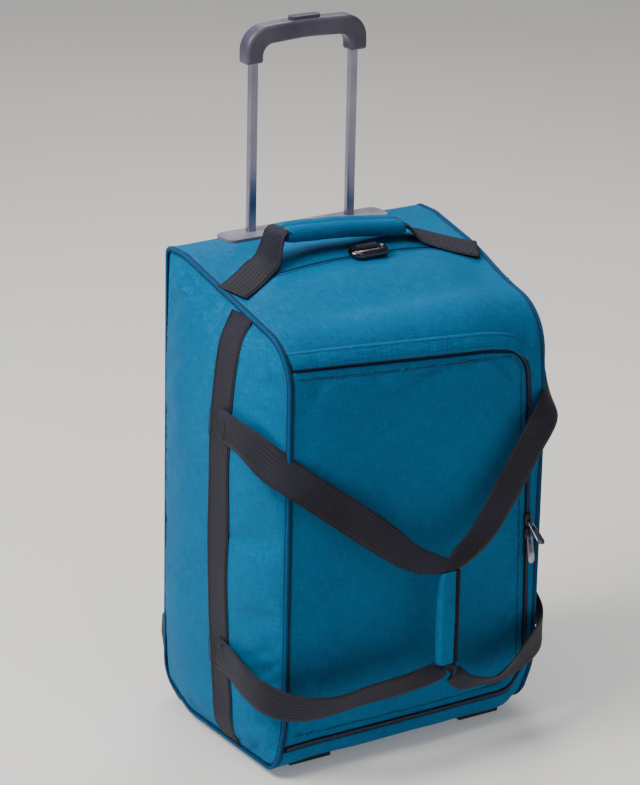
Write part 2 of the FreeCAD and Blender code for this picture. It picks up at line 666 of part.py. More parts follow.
# the button pushes a link bar, the bar pushes a rod down each tube
link_z = bar_low + size("link_lift")
link_top, button_low = link_z + 2, bar_high - size("button_recess")
link = block("link_bar", ("tube_spacing + 2", "5", "4"), ("0", "tube_y", "%g" % link_z))
stem = block("link_stem", ("12", "5", "%g" % (button_low - link_top)),
             ("0", "tube_y", "%g" % ((button_low + link_top) / 2)))
finish(fuse("link", link, stem), "release_link")
tube_low = leg_low + size("grip_socket") - size("tube_length")
rod_low, rod_high = tube_low + 1, link_z - 2
rods = [rod(name + "_push_rod", "rod_radius", "%g" % (rod_high - rod_low),
            (x, "tube_y", "%g" % ((rod_low + rod_high) / 2)), "z") for name, x in TUBE_X.items()]
finish(group("push_rods", *rods), "push_rods")

pin_z = "%g" % (tube_low - 8)
for side, name in SIDES:
    x = TUBE_X[name]
    body = block(name + "_lock_body", ("tube_wide", "tube_deep", "14"),
                 (x, "tube_y", "%g" % (tube_low - 7)))
    guide = rod(name + "_lock_guide", "pin_radius + 0.05", "30", (x, "tube_y", pin_z), "x")
    entry = rod(name + "_lock_entry", "rod_radius + 0.3", "12", (x, "tube_y", "%g" % tube_low), "z")
    finish(cut(name + "_lock", body, guide, entry), name + "_lock_block")
    pin = rod(name + "_lock_pin_rod", "pin_radius", "7",
              ("%s + %g" % (x, side * 2.1), "tube_y", pin_z), "x")
    finish(whole(name + "_pin", pin), name + "_lock_pin")

coil_radius, coil_wire, coil_pitch, coil_height = 3.0, 0.45, 2.2, 6.2
coil = Part.makeHelix(coil_pitch, coil_height, coil_radius)
wire_ring = Part.Wire(Part.makeCircle(coil_wire, V(coil_radius, 0, 0), V(0, 1, 0.11)))
spring = Part.Wire(coil.Edges).makePipeShell([wire_ring], True, True)
spring.translate(V(0, size("tube_y"), bar_low + 4.6))
finish(solid("spring", spring), "button_spring")

# ---- wheels ---------------------------------------------------------------------------------

WHEEL_Z = "wheel_radius - floor_gap"
# the housing seen from the side: flat below, a long curve up behind the wheel to a bump
HOUSING_CORNERS = [(housing_low, -8), (118, -9.5), (140, 22), (153, 64), (151, 88), (134, 102),
                   (134, housing_high), (housing_low, housing_high)]
HOUSING_RADII = [4, 26, 40, 12, 8, 4, 3, 3]
wall = size("housing_wall")
room_wide = housing_width - 2 * wall
for side, name in SIDES:
    middle = side * (band - housing_width / 2 - 0.2)
    low_x = middle - housing_width / 2
    profile = outline([V(low_x, y, z) for y, z in HOUSING_CORNERS], HOUSING_RADII)
    shell = slab(profile, V(housing_width, 0, 0))
    inner_profile = outline([V(low_x, y, z) for y, z in HOUSING_CORNERS], HOUSING_RADII)
    hollow = slab(inner_profile.makeOffset2D(-wall), V(room_wide, 0, 0)).translated(V(wall, 0, 0))
    mouth_box = box_shape((low_x + wall, housing_low + wall, -20), (low_x + wall + room_wide, 160, 40))
    shell = shell.cut(hollow).cut(mouth_box)
    axle_at = V(middle, size("wheel_y"), size("wheel_radius") - size("floor_gap"))
    boss_long = (housing_width - size("wheel_width")) / 2 - 0.5
    for start in (axle_at.x - housing_width / 2, axle_at.x + housing_width / 2 - boss_long):
        seat_at = V(start, axle_at.y, axle_at.z)
        shell = shell.fuse(Part.makeCylinder(size("boss_radius"), boss_long, seat_at, V(1, 0, 0)))
    bore = Part.makeCylinder(size("axle_radius"), 2 * housing_width,
                             axle_at - V(housing_width, 0, 0), V(1, 0, 0))
    finish(solid(name + "_housing", shell.cut(bore).removeSplitter()), name + "_wheel_housing")
    centre = ("%g" % middle, "wheel_y", WHEEL_Z)
    axle = rod(name + "_axle_rod", "axle_radius", "housing_width - 0.4", centre, "x")
    finish(whole(name + "_axle", axle), name + "_wheel_axle")
    hub = rod(name + "_hub_disc", "wheel_radius - tread", "wheel_width", centre, "x")
    hub_bore = rod(name + "_hub_bore", "axle_radius + running_gap", "100", centre, "x")
    finish(cut(name + "_hub", hub, hub_bore), name + "_wheel_hub")
    disc = rod(name + "_tread_disc", "wheel_radius", "wheel_width", centre, "x")
    tread = doc.addObject("Part::Fillet", name + "_tread_round")
    tread.Base = disc
    doc.recompute()
    tread.Edges = [(index + 1, 5.0, 5.0) for index, edge in enumerate(disc.Shape.Edges)
                   if isinstance(edge.Curve, Part.Circle)]
    seat = rod(name + "_tread_seat", "wheel_radius - tread", "100", centre, "x")
    finish(cut(name + "_tyre", tread, seat), name + "_wheel_tyre")

# front feet under the bottom panel
feet = [block("foot_%d" % side, ("foot_width", "foot_depth", "floor_gap"),
              ("%d * foot_x" % side, "foot_set_back - bag_depth / 2", "-floor_gap / 2"))
        for side in (-1, 1)]
finish(group("feet", *feet), "front_feet")

# ---- check and write ---------------------------------------------------------------------------

doc.recompute()
for item in doc.Objects:
    if "Invalid" in item.State or "Error" in item.State:
        raise RuntimeError("%s did not recompute: %s" % (item.Label, item.State))
for item in PARTS:
    if item.Shape.isNull() or not item.Shape.isValid() or not item.Shape.Solids:
        raise RuntimeError("%s is not a valid solid" % item.Label)

os.makedirs("parts", exist_ok=True)
outer = FreeCAD.BoundBox()
for item in PARTS:
    outer.add(item.Shape.BoundBox)
    item.Shape.exportStep(os.path.join("parts", item.Label + ".step"))
print("sub-parts", len(PARTS))
print("outline  ", outer)
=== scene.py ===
import bpy
import math
import numpy as np
from mathutils import Matrix, Vector, noise
from mathutils.bvhtree import BVHTree


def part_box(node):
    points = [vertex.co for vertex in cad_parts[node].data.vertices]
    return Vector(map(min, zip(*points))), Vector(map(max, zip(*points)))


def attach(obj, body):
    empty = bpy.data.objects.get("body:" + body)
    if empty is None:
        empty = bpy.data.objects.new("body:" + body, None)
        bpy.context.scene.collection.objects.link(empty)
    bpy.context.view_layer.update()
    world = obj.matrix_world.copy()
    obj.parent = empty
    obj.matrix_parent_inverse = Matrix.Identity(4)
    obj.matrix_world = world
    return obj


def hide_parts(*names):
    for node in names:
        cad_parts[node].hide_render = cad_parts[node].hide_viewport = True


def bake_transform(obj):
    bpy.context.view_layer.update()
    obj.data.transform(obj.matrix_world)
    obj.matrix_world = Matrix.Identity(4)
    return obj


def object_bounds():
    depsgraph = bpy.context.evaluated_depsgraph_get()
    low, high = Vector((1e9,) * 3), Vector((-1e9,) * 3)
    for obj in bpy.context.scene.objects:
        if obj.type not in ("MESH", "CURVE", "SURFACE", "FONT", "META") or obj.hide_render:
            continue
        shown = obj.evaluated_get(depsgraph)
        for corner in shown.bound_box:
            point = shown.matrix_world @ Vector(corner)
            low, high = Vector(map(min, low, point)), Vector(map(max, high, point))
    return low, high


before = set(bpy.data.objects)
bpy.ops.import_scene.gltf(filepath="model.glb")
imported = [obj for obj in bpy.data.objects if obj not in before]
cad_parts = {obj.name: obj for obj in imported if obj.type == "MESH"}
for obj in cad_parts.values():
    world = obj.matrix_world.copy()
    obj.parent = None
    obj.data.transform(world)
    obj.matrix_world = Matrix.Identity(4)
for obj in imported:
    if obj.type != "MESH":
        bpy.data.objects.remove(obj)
cad_low, cad_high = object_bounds()

# Everything below is worked out in millimetres in the bag's own frame: X across, Y front to
# back from the bag's middle, Z up from the underside of the fabric. place() turns it into
# the row frame's metres.
MM = 0.001
front_low, front_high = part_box("front_panel")
BACK_ROW, BOTTOM_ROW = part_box("back_panel")[1].y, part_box("bottom_panel")[0].z
ORIGIN = np.array([0.0, (front_low.y + BACK_ROW) / 2, BOTTOM_ROW]) / MM
HALF_DEPTH = (BACK_ROW - front_low.y) / 2 / MM
FRONT = -HALF_DEPTH
HEIGHT = (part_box("handle_bezel")[0].z - BOTTOM_ROW) / MM
BAND = front_high.x / MM
SEAM_X = BAND + 4
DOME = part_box("right_side_panel")[1].x / MM - SEAM_X
SIDES = ((-1, "left"), (1, "right"))


def place(points):
    """Points in the bag's own millimetres, turned into the row frame's metres."""
    return (np.asarray(points, float) + ORIGIN) * MM


def local_box(node):
    """Low and high corner of a CAD node in the bag's own millimetres."""
    return [np.array(corner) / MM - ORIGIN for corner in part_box(node)]


WHEEL_LOW, WHEEL_HIGH = local_box("left_wheel_housing")[0][1], local_box("left_wheel_housing")[1][2]
WHEEL_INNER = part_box("right_wheel_housing")[0].x / MM - 1


def run_along(points):
    """Distance along a polyline at each of its points."""
    return np.r_[0, np.cumsum(np.linalg.norm(np.diff(points, axis=0), axis=1))]


def between(where, marks, points):
    """Places on a polyline, read off between the marks of its points."""
    return np.stack([np.interp(where, marks, column) for column in np.transpose(points)], -1)


def unit(vectors):
    return vectors / np.linalg.norm(vectors, axis=-1, keepdims=True)


# ---- the bag's outline seen from the side ----

# the top is flat at the back, then falls towards the front at 12.1 degrees
TOP_FLAT, TOP_FALL = 40, math.tan(math.radians(12.1))
SHOULDER, TOE, HEEL, BACK_TOP = 60, 25, 40, 8
SLOPE_START = HALF_DEPTH - TOP_FLAT
FRONT_TOP = HEIGHT - TOP_FALL * (SLOPE_START - FRONT)


def fillet(corners, radii, ends=False, step=3.0):
    """A polyline through 2-D corners, each rounded with its own radius, or open with two ends."""
    corners = [np.array(corner, float) for corner in corners]
    points = []
    last = len(corners) - 1
    for index, corner in enumerate(corners):
        radius = radii[index]
        if radius == 0 or (ends and index in (0, last)):
            points.append(corner)
            continue
        before = unit(corners[index - 1] - corner)
        after = unit(corners[(index + 1) % len(corners)] - corner)
        half = math.acos(np.clip(before @ after, -1, 1)) / 2
        reach = radius / math.tan(half)
        centre = corner + unit(before + after) * radius / math.sin(half)
        start, end = corner + before * reach - centre, corner + after * reach - centre
        sweep = math.pi - 2 * half
        turn = np.sign(start[0] * end[1] - start[1] * end[0])
        count = max(4, int(radius * sweep / step))
        for share in np.linspace(0, 1, count + 1):
            angle = turn * sweep * share
            c, s = math.cos(angle), math.sin(angle)
            points.append(centre + (c * start[0] - s * start[1], s * start[0] + c * start[1]))
    return np.array(points)


def spread(points, step):
    """The same polyline with points at an even spacing."""
    run = run_along(points)
    count = max(2, int(round(run[-1] / step)) + 1)
    return between(np.linspace(0, run[-1], count), run, points)


def closed(points, step):
    """The same polyline closed on itself, at an even spacing, its last point being its first."""
    return spread(np.r_[points, points[:1]], step)


def crowded(count, part):
    """Shares from 0 to 1 that crowd towards both ends, the more so the larger the part."""
    even = np.linspace(0, 1, count)
    return part * (1 - np.cos(math.pi * even)) / 2 + (1 - part) * even


def side_loop(inset=0.0, step=4.0):
    """The closed outline, from the back top corner forwards over the top, down and round."""
    corners = [(HALF_DEPTH - inset, HEIGHT - inset), (SLOPE_START, HEIGHT - inset),
               (FRONT + inset, FRONT_TOP - inset), (FRONT + inset, inset), (HALF_DEPTH - inset, inset)]
    return closed(fillet(corners, [BACK_TOP, 0, SHOULDER - inset, TOE - inset, HEEL - inset]), step)


OUTLINE = side_loop(0, 2.0)
RUN = run_along(OUTLINE)
TANGENT = unit(np.gradient(OUTLINE, RUN, axis=0))
OUTWARD = np.stack([TANGENT[:, 1], -TANGENT[:, 0]], 1)
if OUTWARD[len(OUTLINE) // 8, 1] < 0:
    OUTWARD = -OUTWARD
SEAM_Y = 14.0


def run_at(test):
    """Distance along the outline where a test on (y, z, distance) first turns true."""
    for (y, z), distance in zip(OUTLINE, RUN):
        if test(y, z, distance):
            return distance
    return RUN[-1]


SEAM_RUN = run_at(lambda y, z, s: y < SEAM_Y and z > 400)
TOE_RUN = run_at(lambda y, z, s: s > 700 and z < 5 and y > FRONT + 28)
WHEEL_RUN = run_at(lambda y, z, s: s > 700 and z < 5 and y > WHEEL_LOW - 2)
HEEL_RUN = run_at(lambda y, z, s: y > 100 and z > 44 and s > 900)
ARCH_RUN = run_at(lambda y, z, s: y > 100 and z > WHEEL_HIGH + 2 and s > 900)
FRONT_PART = (RUN > SEAM_RUN) & (RUN < TOE_RUN)


def run_of_height(z):
    """Distance along the outline of a height on the front."""
    part = OUTLINE[FRONT_PART][:, 1]
    return np.interp(z, part[::-1], RUN[FRONT_PART][::-1])


def hump(value):
    return np.clip(1 - np.abs(value) ** 2.4, 0, 1)


CROWN, CROWN_Y, CROWN_LONG, CROWN_DEEP = 13.0, -3.0, 158.0, 80.0
FRONT_PUFF, TOP_PUFF = 5.5, 2.5


def crown(x, y, z):
    """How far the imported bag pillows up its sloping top."""
    reach = (np.abs(x / CROWN_LONG) ** 3 + np.abs((y - CROWN_Y) / CROWN_DEEP) ** 3) ** (1 / 3)
    return CROWN * np.clip(1 - reach ** 2.5, 0, 1) ** 1.4 * (z > 300)


def ease(value):
    value = np.clip(value, 0, 1)
    return value * value * (3 - 2 * value)


def soften(points):
    """The same points with the corners eased like stuffed cloth, each in its own way."""
    points = np.array(points, float)
    x, y, z = points[..., 0], points[..., 1], points[..., 2]
    low = ease((72 - z) / 75)
    right = ease((x - 136) / 40) * low * (0.4 + 0.6 * ease((-30 - y) / 100))
    left = ease((-x - 130) / 40) * low * ease((110 - y) / 60)
    shoulder = ease((x - 80) / 90) * ease((z - 370) / 110) * ease((30 - y) / 110)
    points[..., 0] -= 9 * left + 10 * right + 4 * shoulder
    points[..., 1] += 7 * right * ease((-90 - y) / 45)
    points[..., 2] += 8 * right - 2.5 * left - 8 * shoulder
    return points


def puff(x, s):
    """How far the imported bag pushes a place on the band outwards."""
    front_share = np.clip((s - SEAM_RUN) / (TOE_RUN - SEAM_RUN), 0, 1)
    top_share = np.clip(s / SEAM_RUN, 0, 1)
    front_puff = FRONT_PUFF * np.sin(math.pi * front_share) ** 0.7
    top_puff = TOP_PUFF * np.sin(math.pi * top_share) ** 0.7
    billow = hump(x / BAND) * np.where(s > SEAM_RUN, front_puff, top_puff) * (s < TOE_RUN)
    return billow + crown(x, *np.moveaxis(between(s, RUN, OUTLINE), -1, 0))


def skin(x, s, out=0.0):
    """A point on the band round the bag: x across, s along the outline, out above the cloth."""
    x, s = np.broadcast_arrays(np.asarray(x, float), np.asarray(s, float))
    flat = between(s, RUN, OUTLINE) + between(s, RUN, OUTWARD) * (puff(x, s) + out)[..., None]
    return soften(np.stack([x, flat[..., 0], flat[..., 1]], -1))


def front_point(plan, out=0.0):
    """Places on the front for an array of x and height."""
    plan = np.asarray(plan)
    return skin(plan[..., 0], run_of_height(plan[..., 1]), out)


# ---- materials ----

def srgb(red, green, blue):
    """Linear colour of an 8-bit screen colour."""
    def linear(value):
        value /= 255
        return value / 12.92 if value <= 0.04045 else ((value + 0.055) / 1.055) ** 2.4
    return (linear(red), linear(green), linear(blue), 1.0)


class Material:
    """A node material with short helpers for the nodes used here."""

    def __init__(self, name, roughness=0.5, metallic=0.0):
        self.data = bpy.data.materials.new(name)
        self.data.use_nodes = True
        self.nodes = self.data.node_tree.nodes
        self.shader = self.nodes["Principled BSDF"]
        self.surface({"Roughness": roughness, "Metallic": metallic})
        self.normal = None

    def feed(self, socket, value):
        """Put a number or a colour on a socket, or link another node's output to it."""
        if isinstance(value, bpy.types.NodeSocket):
            self.data.node_tree.links.new(value, socket)
        else:
            socket.default_value = value

    def surface(self, values):
        """Feed the shader's own inputs by name."""
        for key, value in values.items():
            self.feed(self.shader.inputs[key], value)

    def node(self, kind, **settings):
        item = self.nodes.new(kind)
        for key, value in settings.items():
            if key in item.inputs:
                self.feed(item.inputs[key], value)
            else:
                setattr(item, key, value)
        return item

    def coords(self, kind="Object", scale=(1, 1, 1)):
        source = self.node("ShaderNodeTexCoord").outputs[kind]
        return self.node("ShaderNodeMapping", Scale=scale, Vector=source).outputs["Vector"]

    def split(self, vector):
        item = self.node("ShaderNodeSeparateXYZ")
        self.feed(item.inputs[0], vector)
        return item.outputs

    def noise(self, vector, scale, detail=3.0):
        return self.node("ShaderNodeTexNoise", Vector=vector, Scale=scale, Detail=detail,
                         Roughness=0.5).outputs["Fac"]

    def ramp(self, value, low, high, start, end):
        limits = {"From Min": start, "From Max": end, "To Min": low, "To Max": high, "Value": value}
        return self.node("ShaderNodeMapRange", **limits).outputs["Result"]

    def mix(self, share, first, second):
        item = self.node("ShaderNodeMix", data_type="RGBA")
        for index, value in ((0, share), (6, first), (7, second)):
            self.feed(item.inputs[index], value)
        return item.outputs[2]

    def maths(self, operation, first, second=0.0):
        item = self.node("ShaderNodeMath", operation=operation)
        for socket, value in zip(item.inputs, (first, second)):
            self.feed(socket, value)
        return item.outputs[0]

    def bump(self, height, distance, strength):
        """Add relief on top of any relief the material already has."""
        item = self.node("ShaderNodeBump", Distance=distance, Strength=strength, Height=height)
        if self.normal:
            self.feed(item.inputs["Normal"], self.normal)
        self.normal = item.outputs["Normal"]
        self.surface({"Normal": self.normal})

    def tones(self, value, dark, light, start=0.3, end=0.7):
        """Colour the surface from dark to light as a value runs from start to end."""
        share = self.ramp(value, 0.0, 1.0, start, end)
        self.surface({"Base Color": self.mix(share, srgb(*dark), srgb(*light))})


def woven(name, light, dark, thread=0.0011, sheen=0.15):
    """Plain-weave cloth: crossing threads in a sheet's own metres, with uneven yarn."""
    cloth = Material(name, 0.72)
    split = cloth.split(cloth.coords("UV", (1 / thread, 1 / thread, 1)))
    waves = [cloth.maths("SINE", cloth.maths("MULTIPLY", split[axis], math.pi)) for axis in (0, 1)]
    along, across = (cloth.noise(cloth.coords("UV", scale), 1.0, 2.0)
                     for scale in ((1600, 60, 1), (60, 1600, 1)))
    yarn = cloth.maths("ADD", along, across)
    blotch = cloth.noise(cloth.coords(), 9.0)
    cloth.tones(cloth.maths("ADD", yarn, cloth.maths("MULTIPLY", blotch, 0.35)), dark, light, 0.85, 1.4)
    cloth.surface({"Roughness": cloth.ramp(yarn, 0.62, 0.84, 0.7, 1.3), "Sheen Weight": sheen,
                   "Sheen Roughness": 0.45, "Specular IOR Level": 0.14})
    cloth.bump(cloth.maths("MULTIPLY", *waves), 0.00022, 0.6)
    cloth.bump(yarn, 0.00018, 0.5)
    cloth.bump(cloth.noise(cloth.coords(), 55.0, 4.0), 0.0012, 0.35)
    return cloth.data


def ribbed(name, light, dark, pitch=0.0022, cord=0.0045):
    """Heavy webbing: ribs across the strap, and running cords along it."""
    strap = Material(name, 0.6)
    split = strap.split(strap.coords("UV"))
    rib, cords = (strap.maths("SINE", strap.maths("MULTIPLY", split[axis], 2 * math.pi / length))
                  for axis, length in ((0, pitch), (1, cord)))
    speck = strap.noise(strap.coords("UV", (900, 900, 1)), 1.0, 2.0)
    wear = strap.noise(strap.coords(), 14.0, 4.0)
    tone = strap.maths("ADD", strap.maths("MULTIPLY", rib, 0.12), strap.maths("ADD", speck, wear))
    strap.tones(tone, dark, light, 0.7, 1.35)
    strap.surface({"Roughness": strap.ramp(wear, 0.5, 0.72, 0.3, 0.7), "Specular IOR Level": 0.25})
    strap.bump(rib, 0.0003, 0.8)
    strap.bump(cords, 0.0003, 0.7)
    return strap.data


def moulded(name, light, dark, roughness=0.42, grain=900.0):
    """Injection-moulded plastic with a fine spark texture and handling marks."""
    plastic = Material(name, roughness)
    fine, marks = (plastic.noise(plastic.coords(), *size) for size in ((grain, 2.0), (28.0, 4.0)))
    plastic.tones(marks, dark, light)
    plastic.surface({"Roughness": plastic.ramp(marks, roughness - 0.06, roughness + 0.1, 0.3, 0.7)})
    plastic.bump(fine, 0.00008, 0.6)
    return plastic.data


def metal(name, light, dark, roughness=0.3, along=(30, 30, 2500), coat=0.0):
    """Drawn or plated metal with faint lines along one direction."""
    item = Material(name, roughness, 1.0)
    lines = item.noise(item.coords("Object", along), 1.0, 2.0)
    smudge = item.noise(item.coords(), 24.0)
    item.tones(smudge, dark, light)
    item.surface({"Roughness": item.ramp(smudge, roughness - 0.05, roughness + 0.09, 0.3, 0.7),
                  "Coat Weight": coat})
    item.bump(lines, 0.00003, 0.5)
    return item.data


TEAL = woven("teal_cloth", (10, 118, 166), (3, 78, 126), sheen=0.0)
TEAL_DEEP = woven("teal_binding", (8, 94, 140), (3, 56, 98), sheen=0.0)
THREAD_TEAL = moulded("teal_thread", (10, 62, 100), (6, 44, 78), 0.7)
# painted shade: this seam colour is much darker than the cloth and stands for the shadow in the seam grooves
SEAM_SHADE = moulded("painted_seam_shade", (10, 40, 78), (6, 28, 60), 0.8)
THREAD_DARK = moulded("dark_thread", (30, 28, 36), (18, 17, 24), 0.7)
LINING = woven("lining_cloth", (92, 96, 104), (62, 66, 74), 0.0009)
WEBBING = ribbed("charcoal_webbing", (50, 49, 65), (20, 20, 30))
BINDING = woven("black_binding", (30, 29, 36), (17, 16, 22), 0.0013, sheen=0.05)
ZIP_TAPE = woven("navy_tape", (18, 44, 84), (8, 24, 54), 0.0008)
ZIP_COIL = moulded("navy_coil", (16, 34, 68), (9, 20, 44), 0.35)
GRIP = moulded("slate_grip", (88, 86, 102), (66, 64, 80), 0.4)
BUTTON = moulded("slate_button", (74, 72, 86), (58, 56, 70), 0.32)
BEZEL = moulded("grey_bezel", (128, 130, 142), (104, 106, 118), 0.42)
BLACK = moulded("black_moulding", (40, 40, 46), (26, 26, 30), 0.48)
TYRE = moulded("wheel_tyre", (38, 38, 42), (24, 24, 27), 0.6, 500.0)
HUB = moulded("wheel_hub", (120, 122, 130), (92, 94, 102), 0.4)
TUBE = metal("satin_tube", (176, 174, 192), (150, 148, 168), 0.34, (2500, 2500, 20))
STEEL = metal("bright_steel", (190, 190, 196), (150, 150, 158), 0.24)
GUNMETAL = metal("gunmetal", (88, 84, 92), (58, 55, 64), 0.16, coat=0.6)
PULLER = metal("plated_puller", (168, 170, 180), (120, 122, 134), 0.26)
BOARD = moulded("stiffener_sheet", (70, 72, 78), (54, 56, 62), 0.55)

# ---- mesh helpers ----

WEB, THICK = 40.0, 2.2
CLOTH, THIN_CLOTH = 2.5, 0.8


def mesh(name, points, faces, material, uvs=None):
    """A mesh object from points in the bag's millimetres; uvs are per point, in metres."""
    data = bpy.data.meshes.new(name)
    data.from_pydata([tuple(p) for p in place(points)], [], [tuple(int(i) for i in f) for f in faces])
    if uvs is not None:
        layer = data.uv_layers.new(name="UVMap")
        loops = np.zeros(len(data.loops), np.int32)
        data.loops.foreach_get("vertex_index", loops)
        layer.data.foreach_set("uv", np.asarray(uvs, np.float32)[loops].ravel())
    data.materials.append(material)
    data.polygons.foreach_set("use_smooth", [True] * len(data.polygons))
    data.update()
    item = bpy.data.objects.new(name, data)
    bpy.context.scene.collection.objects.link(item)
    return item


def quads(rows, columns, wrap_rows=False, wrap_columns=False, offset=0):
    """Faces of a grid numbered row by row."""
    faces = []
    for r in range(rows if wrap_rows else rows - 1):
        for c in range(columns if wrap_columns else columns - 1):
            r2, c2 = (r + 1) % rows, (c + 1) % columns
            faces.append((offset + r * columns + c, offset + r * columns + c2,
                          offset + r2 * columns + c2, offset + r2 * columns + c))
    return faces


def capped(rows, columns, offset=0):
    """Faces of a tube of rings with both ends filled."""
    last = offset + (rows - 1) * columns
    return quads(rows, columns, False, True, offset) + [
        tuple(range(offset, offset + columns))[::-1], tuple(range(last, last + columns))]


def grid(name, points, material, uvs, flip=False):
    """A sheet from an array of rows and columns of points."""
    rows, columns = points.shape[:2]
    faces = quads(rows, columns)
    if flip:
        faces = [face[::-1] for face in faces]
    return mesh(name, points.reshape(-1, 3), faces, material, np.asarray(uvs).reshape(-1, 2))


def thicken(item, thickness=CLOTH, offset=-1.0):
    """Give a sheet its cloth thickness, inwards from the visible face."""
    modifier = item.modifiers.new("thickness", "SOLIDIFY")
    modifier.thickness = thickness * MM
    modifier.offset = offset
    return item


def own(item, body, slot, *nodes):
    """Ride on a body and stand for CAD nodes, which it hides; the slot is not used."""
    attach(item, body)
    if nodes:
        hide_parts(*nodes)
    return item


def bend(item, node):
    """Bake a webbing's placement into its mesh and hide the CAD node it stands for."""
    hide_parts(node)
    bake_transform(item)


def frames_along(path, up):
    """Two directions square to a path at each of its points."""
    tangent = unit(np.gradient(path, axis=0))
    side = np.cross(tangent, np.broadcast_to(up, path.shape))
    side /= np.linalg.norm(side, axis=1)[:, None] + 1e-12
    return side, np.cross(side, tangent)


def tube(name, path, radius, material, up=(1, 0, 0), around=12, loop=False, squash=1.0):
    """A round cord along a path, with flat caps unless it is a closed loop."""
    path = np.asarray(path, float)
    radii = np.broadcast_to(np.asarray(radius, float), (len(path),))
    side, over = frames_along(path, np.asarray(up, float))
    if loop:
        ends = unit(path[1] - path[-1])
        for index in (0, -1):
            side[index] = unit(np.cross(ends, up))
            over[index] = np.cross(side[index], ends)
    points, uvs = [], []
    length = run_along(path)
    for index, centre in enumerate(path):
        for turn in range(around):
            angle = 2 * math.pi * turn / around
            points.append(centre + radii[index] * (math.cos(angle) * side[index]
                                                   + squash * math.sin(angle) * over[index]))
            uvs.append((length[index] * MM, turn / around * 2 * math.pi * radii[index] * MM))
    faces = quads(len(path), around, True, True) if loop else capped(len(path), around)
    return mesh(name, points, faces, material, uvs)


def catmull(keys, step=4.0):
    """A smooth curve through rows of numbers whose first three are a place."""
    keys = np.asarray(keys, float)
    padded = np.r_[2 * keys[:1] - keys[1:2], keys, 2 * keys[-1:] - keys[-2:-1]]
    rows = []
    for index in range(1, len(padded) - 2):
        p0, p1, p2, p3 = padded[index - 1:index + 3]
        count = max(3, int(np.linalg.norm(p2[:3] - p1[:3]) / step))
        for t in np.linspace(0, 1, count, endpoint=False):
            rows.append(0.5 * (2 * p1 + (p2 - p0) * t + (2 * p0 - 5 * p1 + 4 * p2 - p3) * t * t
                               + (3 * p1 - p0 - 3 * p2 + p3) * t ** 3))
    rows.append(keys[-1])
    return np.array(rows)


def strap(name, stations, step=4.0, columns=8, curl=0.0):
    """Webbing through stations: place, edge direction, then its own width and thickness if unusual."""
    keys = catmull([(*row, *(WEB, THICK)[len(row) - 6:]) for row in stations], step)
    path = keys[:, :3]
    tangent = unit(np.gradient(path, axis=0))
    edge = unit(keys[:, 3:6] - tangent * np.sum(keys[:, 3:6] * tangent, axis=1)[:, None])
    face = np.cross(tangent, edge)
    length = run_along(path)
    section = [(share, 1.0 if abs(share) < 0.99 else 0.35) for share in np.linspace(-1, 1, columns + 1)]
    ring = section + [(share, -height) for share, height in section[::-1]]
    points, uvs = [], []
    for index in range(len(path)):
        width, thick = keys[index, 6], keys[index, 7]
        for share, height in ring:
            bow = curl * (share * share - 0.4)
            points.append(path[index] + edge[index] * share * width / 2
                          + face[index] * (height * thick / 2 + bow))
            uvs.append((length[index] * MM, share * width / 2 * MM))
    return mesh(name, points, capped(len(path), len(ring)), WEBBING, uvs)


def stitches(name, path, normals, material, length=3.0, pitch=4.2, size=0.42, lift=0.15):
    """A row of short thread stitches lying along a path."""
    path = np.asarray(path, float)
    normals = np.broadcast_to(np.asarray(normals, float), path.shape)
    distance = run_along(path)
    points, faces, uvs = [], [], []
    for start in np.arange(pitch / 2, distance[-1] - pitch / 2, pitch):
        spot, ahead = between([start, start + 0.5], distance, path)
        normal = unit(between(start, distance, normals))
        run = unit(ahead - spot)
        side = np.cross(run, normal)
        faces += capped(4, 4, len(points))
        for share, fat in ((-0.5, 0.3), (-0.36, 1.0), (0.36, 1.0), (0.5, 0.3)):
            for turn in range(4):
                angle = math.pi / 2 * turn + math.pi / 4
                swing = side * math.cos(angle) + normal * math.sin(angle)
                points.append(spot + run * share * length + normal * lift + swing * size * fat)
                uvs.append((start * MM, turn * size * MM))
    return mesh(name, points, faces, material, uvs)


def merge(name, items):
    """Join several objects made above into one piece."""
    for item in bpy.context.selected_objects:
        item.select_set(False)
    for item in items:
        item.select_set(True)
    bpy.context.view_layer.objects.active = items[0]
    if len(items) > 1:
        bpy.ops.object.join()
    items[0].name = name
    return items[0]


def pinned_rim(shape, weights):
    """Pin weights for a grid held along its outer rings, the outermost first."""
    pins = np.zeros(shape)
    for ring, weight in enumerate(weights):
        for line in (pins[ring], pins[-1 - ring], pins[:, ring], pins[:, -1 - ring]):
            np.maximum(line, weight, out=line)
    return pins.ravel()


CLOTH_STEPS = 22


def inflate(item, pinned, pressure, slack, cap):
    """Let a sheet billow as cloth inside its pinned edge, moving no point more than cap."""
    rest = np.array([v.co for v in item.data.vertices], float)
    pins = item.vertex_groups.new(name="pins")
    for index, weight in enumerate(pinned):
        if weight > 0:
            pins.add([index], float(weight), "REPLACE")
    cloth = item.modifiers.new("cloth", "CLOTH")
    for key, value in {
            "quality": 5, "mass": 0.25, "tension_stiffness": 22, "compression_stiffness": 22,
            "shear_stiffness": 8, "bending_stiffness": 0.35, "vertex_group_mass": "pins",
            "use_pressure": True, "uniform_pressure_force": pressure, "shrink_min": -slack,
            "air_damping": 4}.items():
        setattr(cloth.settings, key, value)
    cloth.settings.effector_weights.gravity = 0.0
    cloth.point_cache.frame_start, cloth.point_cache.frame_end = 1, CLOTH_STEPS
    scene = bpy.context.scene
    for step in range(CLOTH_STEPS):
        scene.frame_set(step + 1)
    evaluated = item.evaluated_get(bpy.context.evaluated_depsgraph_get())
    shift = np.array([v.co for v in evaluated.data.vertices], float) - rest
    item.modifiers.remove(cloth)
    item.vertex_groups.remove(pins)
    scene.frame_set(1)
    distance = np.linalg.norm(shift, axis=1)
    limit = cap * MM
    shift *= (limit * np.tanh(distance / limit) / np.maximum(distance, 1e-9))[:, None]
    item.data.vertices.foreach_set("co", (rest + shift).ravel())
    item.data.update()


